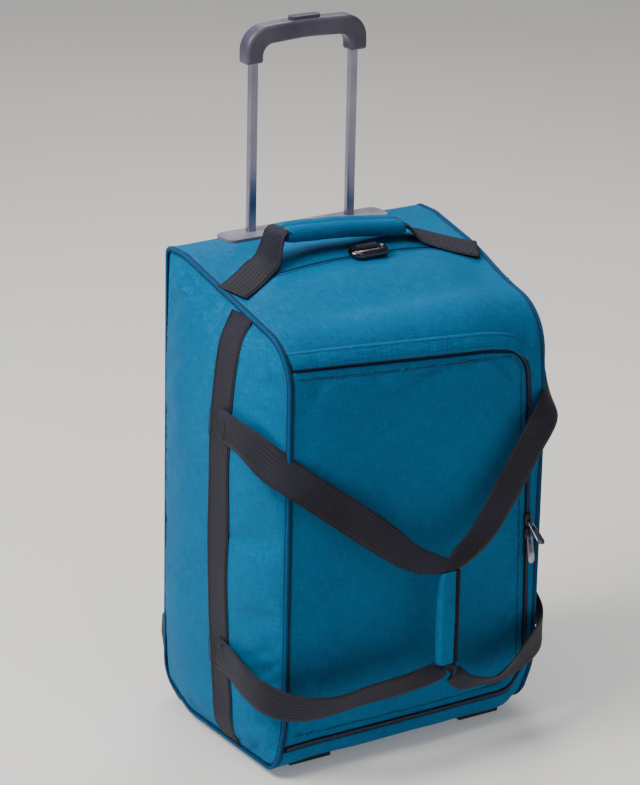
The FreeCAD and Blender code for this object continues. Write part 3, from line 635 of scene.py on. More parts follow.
def uneven(points, size, scale, seed):
    """Gentle unevenness: a smooth random number for each point of a grid."""
    offset = Vector((seed, seed * 0.7, 0))
    values = [noise.noise(Vector(p) * scale + offset) for p in points.reshape(-1, 3)]
    return np.array(values).reshape(points.shape[:-1]) * size


def ray_tree(item):
    """A tree of a mesh's faces, for finding where a ray meets it."""
    return BVHTree.FromPolygons([v.co.copy() for v in item.data.vertices],
                                [tuple(p.vertices) for p in item.data.polygons])


# ---- side panels ----

def column_heights(y, inset):
    """Lowest and highest height of the side outline at one distance from front to back."""
    loop = side_loop(inset, 1.0)
    high = loop[loop[:, 1] > 240]
    low = loop[loop[:, 1] <= 240]
    high = high[np.argsort(high[:, 0])]
    low = low[np.argsort(low[:, 0])]
    return np.interp(y, low[:, 0], low[:, 1]), np.interp(y, high[:, 0], high[:, 1])


def side_grid(inset=3.0, columns=66, rows=120):
    """Y and Z of a grid over the side's outline, and the share of the bulge at each place."""
    flow, share = crowded(columns, 0.45), crowded(rows, 0.4)[:, None]
    ys = (FRONT + inset) + flow * (2 * HALF_DEPTH - 2 * inset)
    lows, highs = column_heights(ys, inset)
    zs = lows + (highs - lows) * share
    across, along = np.abs(2 * flow - 1), np.abs(2 * share - 1)
    return np.broadcast_to(ys, zs.shape), zs, (1 - across ** 2.8) ** 0.7 * (1 - along ** 4.5) ** 0.8


WEB_Y = -36.0
GROOVE_DEEP, GROOVE_WIDE = 1.8, 24.0
RAY_START = 400.0
side_tree = {}


def side_panel(side, name):
    """The side cloth: domed, a little wrinkled, and drawn in along its webbing."""
    ys, zs, rise = side_grid()
    groove = np.exp(-((ys - WEB_Y) / GROOVE_WIDE) ** 2) * GROOVE_DEEP * rise
    xs = side * (SEAM_X - 1.5 + rise * (DOME - 1.5) - groove)
    points = np.stack([xs, ys, zs], -1)
    wrinkle = uneven(points, 3.0, 0.011, 5.0 + side)
    points[..., 0] += side * (wrinkle - 1.0) * np.minimum(1, rise * 2.2)
    uvs = np.stack([ys, zs], -1) * MM
    item = grid(name + "_side_cloth", soften(points), TEAL, uvs, flip=side < 0)
    inflate(item, pinned_rim(zs.shape, (1.0, 1.0, 0.4)), pressure=1.2, slack=0.02, cap=3.5)
    return item


for side, name in SIDES:
    panel = side_panel(side, name)
    side_tree[side] = ray_tree(panel)
    own(thicken(panel), "bag", "fabric", name + "_side_panel")


def on_side(side, y, z, out=0.0):
    """A place on the finished side panel, raised off the cloth."""
    start = Vector(place([side * RAY_START, y, z]))
    hit = side_tree[side].ray_cast(start, Vector((-side, 0, 0)))[0]
    if hit is None:
        return np.array([side * (SEAM_X + out), y, z])
    return np.array(hit) / MM - ORIGIN + (side * out, 0, 0)


# ---- band: top, front, bottom, back ----

FADE = 18.0


def band_sheet(name, reach, s_low, s_high, ripple, step=6.0):
    """Cloth of the band from -reach to reach across, between two distances along it."""
    xs = np.linspace(-reach, reach, max(4, int(2 * reach / step)))
    ss = np.linspace(s_low, s_high, max(4, int((s_high - s_low) / step)))
    gx, gs = np.meshgrid(xs, ss)
    lift = uneven(skin(gx, gs), ripple, 0.018, 3.0)
    for spots, low, high in ((gx, -reach, reach), (gs, s_low, s_high)):
        lift = lift * np.minimum(1, np.minimum(spots - low, high - spots) / FADE)
    return grid(name, skin(gx, gs, lift), TEAL, np.stack([gx, gs], -1) * MM, flip=True)


WIDE, TOP_RIPPLE, RIPPLE = BAND + 2, 1.6, 0.6
for name, sheets, ripple in (
        ("top", [("top_cloth", WIDE, 4, SEAM_RUN)], TOP_RIPPLE),
        ("bottom", [("bottom_wide", WIDE, TOE_RUN, WHEEL_RUN),
                    ("bottom_narrow", WHEEL_INNER, WHEEL_RUN, HEEL_RUN)], RIPPLE),
        ("back", [("back_narrow", WHEEL_INNER, HEEL_RUN, ARCH_RUN),
                  ("back_wide", WIDE, ARCH_RUN, RUN[-1] - 2)], RIPPLE)):
    made = merge(name + "_cloth", [band_sheet(*sheet, ripple) for sheet in sheets])
    own(thicken(made), "bag", "fabric", name + "_panel")

# the zipper's line on the front, as in the CAD model
ZIP_BOX_LOW, ZIP_BOX_HIGH = local_box("bag_zip_tape")
TAPE, TAPE_SHOWS = 6.0, 3.8
ZIP_RIGHT = ZIP_BOX_HIGH[0] - TAPE + 1.2
ZIP_LOW, ZIP_TOP = ZIP_BOX_LOW[2] + TAPE, ZIP_BOX_HIGH[2] - TAPE
ZIP_SHOULDER, ZIP_LEAN, ZIP_CORNER = ZIP_TOP - 21, 12.0, 38.0


def zip_line(grow=0.0, step=4.0, left=-BAND):
    """The C of the zipper from the top left, round the right side, to the bottom left."""
    corners = [(left, ZIP_TOP + grow), (ZIP_RIGHT - ZIP_LEAN + grow, ZIP_SHOULDER + grow),
               (ZIP_RIGHT + grow, ZIP_LOW - grow), (left, ZIP_LOW - grow)]
    radii = [0, ZIP_CORNER + grow, ZIP_CORNER + grow, 0]
    return spread(fillet(corners, radii, ends=True), step)


def front_sheet():
    """The fixed part of the front: a C round the flap, over the shoulder to the top seam."""
    rows, columns = 30, 150
    inner = spread(zip_line(TAPE_SHOWS, 2.0), 2.0)
    inner = np.stack([inner[:, 0], run_of_height(inner[:, 1])], 1)
    outer = [(-WIDE, SEAM_RUN), (WIDE, SEAM_RUN), (WIDE, TOE_RUN), (-WIDE, TOE_RUN)]
    inner_run, outer_run = run_along(inner), run_along(outer)
    corners = [inner_run[np.argmax(inner[:, 0] + way * inner[:, 1])] for way in (-0.9, 0.9)]
    shares = np.linspace(0, 3, columns)
    low = between(np.interp(shares, range(4), [0, *corners, inner_run[-1]]), inner_run, inner)
    high = between(np.interp(shares, range(4), outer_run), outer_run, outer)
    flow = np.linspace(0, 1, rows)[:, None, None]
    plan = low[None] * (1 - flow) + high[None] * flow
    lift = uneven(skin(plan[..., 0], plan[..., 1]), 1.6, 0.016, 8.0)
    fade = np.minimum(1, np.minimum(flow[..., 0], 1 - flow[..., 0]) * 6)
    return grid("front_cloth", skin(plan[..., 0], plan[..., 1], lift * fade), TEAL, plan * MM)


own(thicken(front_sheet()), "bag", "fabric", "front_panel")


def flap_sheet():
    """The zipped flap: rows across, each running from the left seam to the zipper."""
    rows, columns = 96, 72
    left = -BAND + 1.5
    line = zip_line(-TAPE_SHOWS, 0.5, left)
    low_z, high_z = line[-1, 1], line[0, 1]
    right_part = line[line[:, 0] > ZIP_RIGHT - ZIP_LEAN - ZIP_CORNER - TAPE - 4][::-1]
    plan = np.zeros((rows, columns, 2))
    for row, v in zip(plan, crowded(rows, 0.6)):
        right_z = low_z + (ZIP_SHOULDER - TAPE - low_z) * v
        left_z = low_z + (high_z - low_z) * v
        edge_x = np.interp(right_z, right_part[:, 1], right_part[:, 0])
        row[:, 0] = left + (edge_x - left) * np.linspace(0, 1, columns)
        full = (row[:, 0] - left) / (ZIP_RIGHT - ZIP_LEAN - TAPE - left)
        row[:, 1] = left_z + (right_z - left_z) * np.clip(full, 0, 1)
    return grid("flap_cloth", front_point(plan), TEAL, plan * MM), plan


flap_cloth, flap_plan = flap_sheet()
inflate(flap_cloth, pinned_rim(flap_plan.shape[:2], (1.0, 0.9, 0.5)), pressure=1.0, slack=0.015, cap=4)
flap_tree = ray_tree(flap_cloth)
own(thicken(flap_cloth), "front_flap", "fabric", "front_flap")


def on_flap(x, z, out=0.2):
    """A place on the finished flap, raised off the cloth."""
    start = Vector(place([x, -RAY_START, z]))
    hit = flap_tree.ray_cast(start, Vector((0, 1, 0)))[0]
    return front_point([x, z], out) if hit is None else np.array(hit) / MM - ORIGIN - (0, out, 0)


# piping in the side seams, with a thin dark tube of painted seam shade on either side of it
PIPING = 2.3
for side, name in SIDES:
    loop = side_loop(1.0, 5.0)[:-1]
    path = np.c_[np.full(len(loop), side * SEAM_X), loop]
    cord = tube(name + "_piping_cord", soften(path), PIPING, TEAL_DEEP, loop=True)
    own(cord, "bag", "fabric", name + "_piping")
    for inset, shift, radius, tag in ((3.4, 1.6, 0.7, "outer"), (0.4, -3.4, 1.3, "inner")):
        row = side_loop(inset, 4.0)[:-1]
        line = soften(np.c_[np.full(len(row), side * (SEAM_X + shift)), row])
        own(tube("%s_seam_%s" % (name, tag), line, radius, SEAM_SHADE, loop=True, around=6), "bag", "fabric")

# ---- zipper ----

def strip_between(name, grow_low, grow_high, left=-BAND + 2):
    """Zipper tape that follows the zipper's line between two offsets from it."""
    lines = [zip_line(grow, 4.0, left) for grow in (grow_low, grow_high)]
    shares = np.linspace(0, 1, max(len(line) for line in lines))
    low, high = (between(shares, np.linspace(0, 1, len(line)), line) for line in lines)
    plan = np.array([low * (1 - flow) + high * flow for flow in np.linspace(0, 1, 4)])
    over = np.broadcast_to(np.linspace(0, TAPE, 4)[:, None], plan.shape[:2])
    uvs = np.stack([plan[..., 0] + plan[..., 1], over], -1) * MM
    return thicken(grid(name, front_point(plan, -1.0), ZIP_TAPE, uvs), 1.2)


own(strip_between("bag_tape", 0.8, TAPE + 2), "bag", "zip_fabric", "bag_zip_tape")
own(strip_between("flap_tape", -TAPE - 2, -0.8), "front_flap", "zip_fabric", "flap_zip_tape")


def teeth(name, side, pitch=1.9):
    """One half of the zipper's coil: small rounded teeth reaching across the line."""
    line = zip_line(0, 0.5, -BAND + 4)
    distance = run_along(line)
    points, faces, uvs = [], [], []
    for start in np.arange(pitch * (0.25 if side > 0 else 0.75), distance[-1], pitch):
        spot, ahead = between([start, start + 0.5], distance, line)
        run = unit(ahead - spot)
        outward = np.array([-run[1], run[0]]) * side
        faces += capped(4, 4, len(points))
        for reach, up, half in ((-2.6, 0.0, 0.5), (-1.9, 0.5, 0.62), (0.2, 0.7, 0.62), (0.9, 0.1, 0.55)):
            for along, over in ((-half, -0.5), (half, -0.5), (half * 0.8, 0.7), (-half * 0.8, 0.7)):
                points.append(front_point(spot - outward * reach + run * along, 0.2 + up + over))
                uvs.append((start * MM, over * MM))
    return mesh(name, points, faces, ZIP_COIL, uvs)


own(teeth("bag_teeth", 1), "bag", "zip_fabric")
own(teeth("flap_teeth", -1), "front_flap", "zip_fabric")


def fold_strip():
    """The storm flap: a folded strip over the zipper's top run."""
    low = zip_line(-1.0, 3.0)
    keep = (low[:, 0] < ZIP_RIGHT - ZIP_LEAN - 6) | (low[:, 1] > ZIP_SHOULDER - 22)
    end = int(np.argmin(keep))
    low = low[:end]
    top = zip_line(16.0, 3.0)[:int(end * 1.03)]
    high = between(np.linspace(0, 1, end), np.linspace(0, 1, len(top)), top)
    taper = np.clip((end - 1 - np.arange(end)) / 10.0, 0.12, 1)
    rows = []
    for flow, out in ((0, 1.0), (0.0, 3.0), (0.12, 3.6), (0.5, 3.4), (0.88, 2.6), (1.0, 0.4)):
        rows.append(front_point(low * (1 - flow) + high * flow, out * taper))
    uvs = np.stack(np.meshgrid(np.linspace(0, 0.34, end), np.linspace(0, 0.017, 6)), -1)
    return grid("storm_fold", np.array(rows), TEAL, uvs), low, high


storm, storm_low, storm_high = fold_strip()
own(storm, "bag", "fabric", "storm_flap")
OUT_FRONT = np.array([0, -1.0, 0.12])
for share, tag in ((0.2, "low"), (0.84, "high")):
    plan = (storm_low * (1 - share) + storm_high * share)[:-4]
    own(stitches("storm_stitch_" + tag, front_point(plan, 3.2), OUT_FRONT, THREAD_TEAL), "bag", "fabric")

inner_row = zip_line(-13.0, 3.0, -BAND + 6)
own(stitches("flap_stitch", [on_flap(x, z) for x, z in inner_row], OUT_FRONT, THREAD_TEAL),
    "front_flap", "fabric")
# painted shade: a dark tube half sunk along the crease under the zipper, standing for the crease's shadow
own(tube("flap_crease_shade", [on_flap(x, z, -0.35) for x, z in zip_line(-11.6, 4.0, -BAND + 4)], 0.7,
         THREAD_TEAL, up=(0, 1, 0), around=6), "front_flap", "fabric")

# seam across the top: a dark tube of painted seam shade, with real stitching beside it
seam_x = np.linspace(-BAND + 2, BAND - 2, 90)
own(tube("top_seam", skin(seam_x, np.full(90, SEAM_RUN), 0.3), 1.0, SEAM_SHADE, up=(0, 0, 1), around=6),
    "bag", "fabric")
own(stitches("top_seam_stitch", skin(seam_x, np.full(90, SEAM_RUN + 5), 0.5), (0, -0.2, 1), THREAD_TEAL),
    "bag", "fabric")

# ---- webbing ----

BAND_STOPS = {-1: 4, 1: 13}


def side_band(side, name):
    """The webbing sewn down the side panel, following its bulge."""
    zs = np.linspace(4, HEIGHT - TOP_FALL * (SLOPE_START - WEB_Y) - BAND_STOPS[side], 100)
    ys = np.linspace(WEB_Y - WEB / 2, WEB_Y + WEB / 2, 9)
    points = np.array([[on_side(side, y, z, 1.6) for y in ys] for z in zs])
    smooth = points[..., 0]
    for _ in range(6):
        smooth[1:-1] = (smooth[:-2] + smooth[1:-1] * 2 + smooth[2:]) / 4
    uvs = np.stack(np.broadcast_arrays(zs[:, None], (ys - WEB_Y)[None]), -1) * MM
    item = grid(name + "_side_band", points, WEBBING, uvs, flip=side < 0)
    own(thicken(item, 2.0), "bag", "webbing", name + "_side_webbing")
    for edge in (-1, 1):
        y = WEB_Y + edge * (WEB / 2 - 3)
        path = [on_side(side, y, z, 2.0) for z in zs]
        own(stitches("%s_band_stitch_%d" % (name, edge + 1), path, (side, 0, 0), THREAD_DARK),
            "bag", "webbing")


for side, name in SIDES:
    side_band(side, name)

WRAP_LOW, WRAP_HIGH = local_box("grip_wrap")
WRAP_X, WRAP_Y, _ = (WRAP_LOW + WRAP_HIGH) / 2
CORE_Y = WRAP_Y - 1.0
TIE_HIGH, TIE_LOW = 402.0, 119.0


def carry_strap(side, name, upper, lower, core_x):
    """One length of webbing: side, front corner, middle, grip, and back lower down."""
    top = on_side(side, WEB_Y - 2, TIE_HIGH, 4.0)
    low = on_side(side, WEB_Y - 2, TIE_LOW, 4.0)
    core = [(core_x, CORE_Y, *rest) for rest in (
        (WRAP_HIGH[2] + 6, -side * 0.85, 0.15, 0.5, 19, 5), (WRAP_HIGH[2] - 10, -side, -side * 0.1, 0, 9, 8),
        (WRAP_LOW[2] + 10, -side, -side * 0.1, 0, 9, 8), (WRAP_LOW[2] - 6, -side * 0.7, 0.15, 0.7, 19, 5))]
    stations = [(*top, 0, 0, 1)] + upper + core + lower + [(*low, 0, 0, 1)]
    item = strap(name + "_carry_webbing", stations, 5.0, curl=0.5)
    bend(item,
         name + "_carry_strap")


# place, then the direction of the webbing's edge, then width and thickness where they differ
UPPER_LEFT = [
    (-207, -64, 401, 0, 0.05, 1), (-203, -98, 394, 0.1, 0.2, 1), (-190, -131, 376, 0.3, 0.3, 0.9),
    (-162, -150, 353, 0.5, 0.2, 0.8), (-122, -157, 322, 0.55, 0.1, 0.8), (-76, -167, 286, 0.55, 0.05, 0.8),
    (-32, -177, 251, 0.6, 0.15, 0.75, WEB * 0.8, THICK + 1)]
LOWER_LEFT = [
    (-40, -185, 100, 0.1, -0.3, 0.9, WEB * 0.8, THICK + 1), (-92, -183, 97, 0, -0.5, 0.85),
    (-142, -178, 91, 0, -0.5, 0.85), (-182, -164, 93, 0, -0.3, 0.95), (-205, -138, 101, 0, -0.1, 1),
    (-211, -104, 110, 0, 0, 1), (-208, -70, 117, 0, 0, 1)]
UPPER_RIGHT = [
    (205, -76, 410, 0, 0.1, 1), (194, -115, 402, -0.1, 0.3, 1), (175, -145, 384, -0.45, 0.2, 0.85),
    (140, -160, 350, -0.65, 0.05, 0.75), (104, -168, 306, -0.65, 0.05, 0.72),
    (62, -177, 261, -0.7, 0.15, 0.7, WEB * 0.8, THICK + 1)]
LOWER_RIGHT = [
    (40, -187, 84, -0.35, -0.45, 0.8, WEB * 0.75, THICK + 1), (76, -184, 76, -0.4, -0.75, 0.55),
    (112, -176, 80, -0.3, -0.55, 0.8), (150, -163, 92, -0.2, -0.2, 1), (182, -142, 102, 0, 0, 1),
    (199, -108, 111, 0, 0, 1), (205, -72, 118, 0, 0, 1)]
LEFT_CORE, RIGHT_CORE = WRAP_X - 3.1, WRAP_X + 6.1
carry_strap(-1, "left", UPPER_LEFT, LOWER_LEFT, LEFT_CORE)
carry_strap(1, "right", UPPER_RIGHT, LOWER_RIGHT, RIGHT_CORE)


def tie_patch(side, name):
    """Box-and-cross stitching where the carry strap is sewn to the side webbing."""
    rows = []
    a, b, c, d = [(y * (WEB / 2 - 5), z * 16.0) for y, z in ((-1, -1), (1, -1), (1, 1), (-1, 1))]
    for middle in (TIE_HIGH, TIE_LOW):
        for line in ((a, b, c, d, a), (a, c), (d, b)):
            path = [on_side(side, WEB_Y + y, middle + z, 6.0) for y, z in spread(line, 2.0)]
            rows.append(stitches("%s_tie_%d" % (name, len(rows)), path, (side, 0, 0), THREAD_DARK,
                                 2.4, 3.2, 0.45))
    return own(merge(name + "_tie_stitches", rows), "bag", "webbing", name + "_strap_patches")


for side, name in SIDES:
    tie_patch(side, name)


def grip_wrap():
    """The padded wrap closed round both straps, with its mouth to the right."""
    half_x, half_y, _ = (WRAP_HIGH - WRAP_LOW) / 2
    plan = spread(fillet([(WRAP_X + half_x, WRAP_Y + half_y - 2), (WRAP_X - half_x, WRAP_Y + half_y),
                          (WRAP_X - half_x, WRAP_Y - half_y), (WRAP_X + half_x, WRAP_Y - half_y + 2)],
                         [0, 6, 6, 0], ends=True, step=1.2), 1.8)
    zs = np.linspace(WRAP_LOW[2], WRAP_HIGH[2], 32)
    centre = np.array([WRAP_X, WRAP_Y])
    points = []
    for z in zs:
        share = (z - WRAP_LOW[2]) / (WRAP_HIGH[2] - WRAP_LOW[2])
        swell = 1.0 + 0.06 * math.sin(math.pi * share)
        ripple = [1 + 0.012 * noise.noise(Vector((x * 0.09, z * 0.05, 4))) for x, _ in plan]
        points.append([(*(centre + (p - centre) * swell * r), z) for p, r in zip(plan, ripple)])
    uvs = [[(index * 1.8 * MM, z * MM) for index in range(len(plan))] for z in zs]
    return thicken(grid("wrap_cloth", np.array(points), TEAL, uvs), 3.4), plan, zs


wrap, wrap_plan, wrap_zs = grip_wrap()
own(wrap, "left_carry_loop", "fabric", "grip_wrap")
edge_front = [(wrap_plan[-1][0] + 1.6, wrap_plan[-1][1] + 0.4, z) for z in wrap_zs]
edge_back = [(wrap_plan[0][0] + 1.4, wrap_plan[0][1] - 1.0, z) for z in wrap_zs]
own(tube("wrap_binding_front", edge_front, 2.2, BINDING, squash=1.5), "left_carry_loop",
    "webbing", "grip_wrap_binding")
own(tube("wrap_binding_back", edge_back, 1.8, BINDING), "left_carry_loop", "webbing")

# ---- top grab handle ----

PAD_LOW, PAD_HIGH = local_box("top_handle_pad")
PAD_Y = (PAD_LOW[1] + PAD_HIGH[1]) / 2
PAD_RADIUS, PAD_SPLIT, PAD_RINGS = 10.0, 9.0, 56
PAD_LEFT, PAD_RIGHT = PAD_HIGH[2] - PAD_RADIUS, PAD_LOW[2] + PAD_RADIUS


def pad_height(x):
    """Height of the grab handle's middle, which leans down towards the right."""
    middle = (PAD_LEFT + PAD_RIGHT) / 2 + 2.5
    return float(np.interp(x, [PAD_LOW[0], 0, PAD_HIGH[0]], [PAD_LEFT, middle, PAD_RIGHT]))


def grab_pad():
    """The padded grab handle: two stuffed rolls side by side under one cover."""
    section = [(side * (PAD_SPLIT + PAD_RADIUS * math.cos(turn)), side * PAD_RADIUS * math.sin(turn))
               for side in (1, -1) for turn in np.linspace(-2.55, 2.55, 24)]
    points, uvs = [], []
    for share in np.linspace(0, 1, PAD_RINGS):
        x = PAD_LOW[0] + (PAD_HIGH[0] - PAD_LOW[0]) * share
        swell = 0.78 + 0.22 * math.sqrt(min(1, min(share, 1 - share) * 18))
        wrinkle = 1 + 0.035 * noise.noise(Vector((x * 0.06, 3, 7)))
        points += [(x, PAD_Y + wide * (0.9 + 0.1 * swell) * wrinkle, pad_height(x) + tall * swell * wrinkle)
                   for wide, tall in section]
        uvs += [(x * MM, index * 1.5 * MM) for index in range(len(section))]
    return mesh("grab_cover", points, capped(PAD_RINGS, len(section)), TEAL, uvs)


pad = grab_pad()
own(pad, "top_handle", "fabric", "top_handle_pad")


def surface_top(x, y):
    """Height of the cloth on the bag's top."""
    base = HEIGHT - TOP_FALL * max(0.0, SLOPE_START - y)
    return float(soften([x, y, base + crown(x, y, base)])[2])


def rest_on_top(item, columns=8, lift=0.7):
    """Raise a strap wherever it would dip into the cloth of the top."""
    ring = 2 * (columns + 1)
    vertices = item.data.vertices
    for start in range(0, len(vertices), ring):
        for index in range(columns + 1):
            pair = [vertices[start + index], vertices[start + ring - 1 - index]]
            spots = [np.array(v.co) / MM - ORIGIN for v in pair]
            need = max(surface_top(*spot[:2]) + lift - spot[2] for spot in spots)
            if need > 0:
                for vertex in pair:
                    vertex.co.z += need * MM
    item.data.update()
    return item


def grab_end(side, name):
    """One webbing end: out of the pad, over its edge, down and across to the side seam."""
    x = -PAD_LOW[0] if side < 0 else PAD_HIGH[0]
    way = [(-12, 0, 0, 0.0, 34, 10), (-3, 0, 2, 0.0, 36, 10), (7, 0, 1, 0.05, 39, 5)]
    stations = [(side * (x + out), PAD_Y + back, pad_height(side * x) + up, 0, 1, lean, wide, thick)
                for out, back, up, lean, wide, thick in way]
    for out, y, lift, turn in ((22, 33, 8, 0.15), (40, 24, 4, 0.35), (60, 13, 3, 0.5), (78, 4, 2.6, 0.55),
                               (BAND - x - 1, -1, 2.2, 0.5)):
        spot = side * (x + out)
        stations.append((spot, y, surface_top(spot, y) + lift, side * turn, 1, 0.2))
    return rest_on_top(strap(name + "_grab_webbing", stations))


for side, name in SIDES:
    bend(grab_end(side, name),
         "top_handle_webbing")

# ---- ring on the top seam ----

def strap_ring():
    """A plated ring whose front bar is a fat rounded grip."""
    low, high = local_box("strap_ring")
    x = (low[0] + high[0]) / 2
    back_y, front_y, low_z = high[1] - 3.2, low[1] + 5.5, low[2] + 5.5
    rise = TOP_FALL * (back_y - front_y)
    half = (high[0] - low[0]) / 2 - 4.5
    corners = [(-half, back_y), (-half, front_y), (half, front_y), (half, back_y)]
    plan = closed(fillet(corners, [5, 9, 9, 5], step=1.2), 1.4)[:-1]
    share = (plan[:, 1] - front_y) / (back_y - front_y)
    radius = 3.0 + 2.7 * np.clip(1 - share * 1.6, 0, 1)
    path = np.c_[plan[:, 0] + x, plan[:, 1], low_z + rise * share]
    return tube("plated_ring", path, radius, GUNMETAL, up=(0, 0, 1), around=18, loop=True)


own(strap_ring(), "ring", "gunmetal", "strap_ring")

# ---- zip sliders and pullers ----

def slider_shell(node, name):
    """A slider body: shield-shaped plate with rounded shoulders and a bridge over the eye."""
    low, high = local_box(node)
    x, z, y = (low[0] + high[0]) / 2, (low[2] + high[2]) / 2, high[1]
    flip = 1 if name == "upper" else -1
    profile = ((-1, 0), (-1, 3.2), (-0.75, 4.4), (0, 4.9), (0.75, 4.4), (1, 3.2), (1, 0))
    stations = ((-7, 3.0), (-5.5, 4.0), (-2, 4.6), (2, 5.0), (5.5, 4.6), (7, 3.4))
    points = [(x + half * wide, y - deep, z + flip * along) for along, half in stations
              for wide, deep in profile]
    shell = mesh(name + "_slider_shell", points, capped(len(stations), len(profile)), BLACK)
    arc = [(x, y - 4.4 - 3.6 * math.sin(turn), z + 5 * math.cos(turn))
           for turn in np.linspace(0, math.pi, 14)]
    bridge = tube(name + "_slider_bridge", arc, 1.2, BLACK, around=8)
    return own(merge(name + "_slider", [shell, bridge]), name + "_slider", "black_plastic", node)


def puller(node, name, flare):
    """A flat metal tab with a window, hung from the slider's bridge."""
    low, high = local_box(node)
    x = (low[0] + high[0]) / 2
    pivot = np.array([x, FRONT - 6.1, high[2] - (0.8 if flare < 40 else 0.9)])
    down = np.array([0, -math.sin(math.radians(flare)), -math.cos(math.radians(flare))])
    out = np.array([0, -math.cos(math.radians(flare)), math.sin(math.radians(flare))])
    across = np.array([1.0, 0, 0])
    window = closed(fillet([(-2, 3), (2, 3), (2, 9), (-2, 9)], [1.6] * 4, step=1.0), 0.7)[:-1]
    edge = fillet([(-3.4, -1), (3.4, -1), (5, 34), (-5, 34)], [2.4, 2.4, 4.4, 4.4], step=1.0)
    edge = closed(edge, 2.0)[:-1]
    order = np.linspace(0, len(window), len(edge), endpoint=False).astype(int)
    start = int(np.argmin(np.linalg.norm(window - np.array([-2.0, 3]), axis=1)))
    inner = window[(order + start) % len(window)]
    begin = int(np.argmin(np.linalg.norm(edge - np.array([-3.4, -1]), axis=1)))
    edge = np.roll(edge, -begin, axis=0)
    points = []
    for share, height in ((0, 0.8), (0.5, 1.0), (0.97, 0.8), (1, 0.0), (0.97, -0.8), (0, -0.8)):
        plan = edge * share + inner * (1 - share)
        points += [pivot + across * a + down * b + out * height for a, b in plan]
    item = mesh(name + "_pull_tab", points, quads(6, len(edge), True, True), PULLER)
    return own(item, name + "_puller", "puller_metal", node)


for name, flare in (("upper", 55), ("lower", 12)):
    slider_shell(name + "_zip_slider", name)
    puller(name + "_zip_puller", name, flare)

# ---- inside ----

TUBE_ROOM = 23.0


def lining():
    """The bag's lining: a loose inner skin that shows when the flap is open."""
    loop = side_loop(9.0, 8.0)[:-1]
    xs = np.linspace(-BAND + 4, BAND - 4, 30)
    points = np.array([[(x, y, z) for y, z in loop] for x in xs])
    lift = uneven(points, 2.0, 0.03, 21.0)
    away = unit(points[..., 1:] - np.array([0, 260.0]))
    points[..., 1:] -= away * (np.abs(lift)[..., None] + 0.5)
    points[..., 1] = np.minimum(points[..., 1], HALF_DEPTH - TUBE_ROOM)
    points = soften(points).reshape(-1, 3)
    keep = []
    for face in quads(len(xs), len(loop), False, True):
        x, y, z = points[list(face)].mean(0)
        on_front = y < FRONT + 14 and ZIP_LOW + 4 < z < ZIP_TOP - 8
        wheel = abs(x) > WHEEL_INNER - 6 and y > WHEEL_LOW - 8 and z < WHEEL_HIGH + 8
        if not on_front and not wheel:
            keep.append(face)
    uvs = np.stack(np.meshgrid(np.arange(len(loop)) * 8.0, xs), -1) * MM
    return mesh("lining_band", points, keep, LINING, uvs.reshape(-1, 2))


own(thicken(lining(), THIN_CLOTH, 0), "bag", "fabric")
for side, name in SIDES:
    ys, zs, rise = side_grid(9.0, 26, 48)
    points = soften(np.stack([side * (BAND - 4 + rise * (DOME - 8)), ys, zs], -1))
    item = grid(name + "_lining", points, LINING, np.stack([ys, zs], -1) * MM)
    own(thicken(item, THIN_CLOTH, 0), "bag", "fabric")
flap_inner = grid("flap_lining", front_point(flap_plan[::3, ::3], -4.6), LINING, flap_plan[::3, ::3] * MM)
own(thicken(flap_inner, THIN_CLOTH, 0), "front_flap", "fabric")

# ---- CAD pieces that keep their shape ----

FINISHES = {"grip_shell": GRIP, "release_button": BUTTON, "handle_bezel": BEZEL, "push_rods": STEEL,
            "button_spring": STEEL, "bracket_screws": STEEL, "back_board": BOARD, "bottom_board": BOARD,
            "ring_tab": WEBBING}
for _, name in SIDES:
    for part, material in (("inner_tube", TUBE), ("outer_tube", TUBE), ("wheel_tyre", TYRE),
                           ("wheel_hub", HUB), ("wheel_axle", STEEL), ("lock_pin", STEEL)):
        FINISHES[name + "_" + part] = material
for name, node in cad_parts.items():
    node.data.materials.clear()
    node.data.materials.append(FINISHES.get(name, BLACK))

# ---- floor, light and camera ----

FLOOR_GLOW = 0.17
centre = (cad_low + cad_high) / 2


def backdrop():
    """A wide pale floor, made of rings so that it is fine near the bag and coarse far out."""
    radii = [0.4 * 1.42 ** step for step in range(12)]
    around = 48
    turns = np.linspace(0, 2 * math.pi, around, endpoint=False)
    points = [(0, 0, 0)] + [(r * math.cos(turn), r * math.sin(turn), 0) for r in radii for turn in turns]
    faces = [(0, 1 + index, 1 + (index + 1) % around) for index in range(around)]
    faces += [face[::-1] for face in quads(len(radii), around, False, True, 1)]
    data = bpy.data.meshes.new("floor")
    data.from_pydata(points, [], faces)
    floor = bpy.data.objects.new("floor", data)
    bpy.context.scene.collection.objects.link(floor)
    paper = Material("pale_paper", 0.85)
    paper.tones(paper.noise(paper.coords(), 1.2), (226, 222, 217), (233, 229, 224))
    paper.surface({"Emission Color": (1.0, 0.99, 0.97, 1), "Emission Strength": FLOOR_GLOW})
    data.materials.append(paper.data)


backdrop()


def direction(azimuth, elevation):
    """The way from the bag towards a place at these angles in degrees."""
    a, e = math.radians(azimuth), math.radians(elevation)
    return Vector((math.sin(a) * math.cos(e), -math.cos(a) * math.cos(e), math.sin(e)))


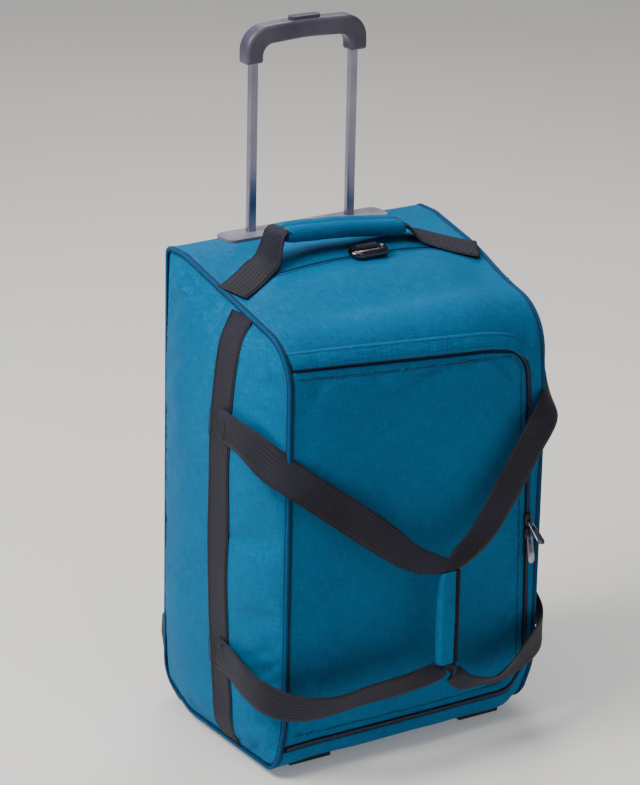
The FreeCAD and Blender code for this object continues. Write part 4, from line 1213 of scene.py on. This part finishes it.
def area_light(name, azimuth, elevation, distance, size, power, colour=(1, 1, 1)):
    """A soft panel light that faces the bag from one direction."""
    away = direction(azimuth, elevation)
    data = bpy.data.lights.new(name, "AREA")
    data.shape, data.size, data.energy, data.color = "DISK", size, power, colour
    lamp = bpy.data.objects.new(name, data)
    lamp.location = centre + away * distance
    lamp.rotation_mode = "QUATERNION"
    lamp.rotation_quaternion = (-away).to_track_quat("-Z", "Y")
    bpy.context.scene.collection.objects.link(lamp)


# azimuth and elevation in degrees, distance and size in metres, power in watts
area_light("key", -96, 46, 2.6, 1.4, 78, (1.0, 0.985, 0.96))
area_light("fill", 10, 34, 3.4, 2.2, 7, (0.95, 0.98, 1.0))
area_light("rim", 150, 50, 2.8, 1.2, 34)
area_light("over", -40, 80, 2.6, 1.8, 20)

world = bpy.data.worlds.new("studio")
world.use_nodes = True
background = world.node_tree.nodes["Background"].inputs
background["Color"].default_value = (0.92, 0.93, 0.95, 1)
background["Strength"].default_value = 0.19
bpy.context.scene.world = world

ROLL = math.radians(1.19)
DISTANCE, LENS, SENSOR = 3.994, 156.0, 36.0
SHIFT_RIGHT, SHIFT_UP, AIM_HEIGHT = -0.04015, 0.0367, 350
back_way = direction(-33.05, 20.13)
right_way = (-back_way).cross(Vector((0, 0, 1))).normalized()
up_way = right_way.cross(-back_way)
aim = right_way * SHIFT_RIGHT + up_way * SHIFT_UP + Vector(place([0, 0, AIM_HEIGHT]))
rolled_right = right_way * math.cos(ROLL) + up_way * math.sin(ROLL)
rolled_up = up_way * math.cos(ROLL) - right_way * math.sin(ROLL)
camera_data = bpy.data.cameras.new("camera")
camera_data.lens, camera_data.sensor_width = LENS, SENSOR
camera = bpy.data.objects.new("camera", camera_data)
camera.location = aim + back_way * DISTANCE
axes = [rolled_right, rolled_up, back_way]
camera.rotation_mode = "QUATERNION"
camera.rotation_quaternion = Matrix([[axis[row] for axis in axes] for row in range(3)]).to_quaternion()
bpy.context.scene.collection.objects.link(camera)
bpy.context.scene.camera = camera
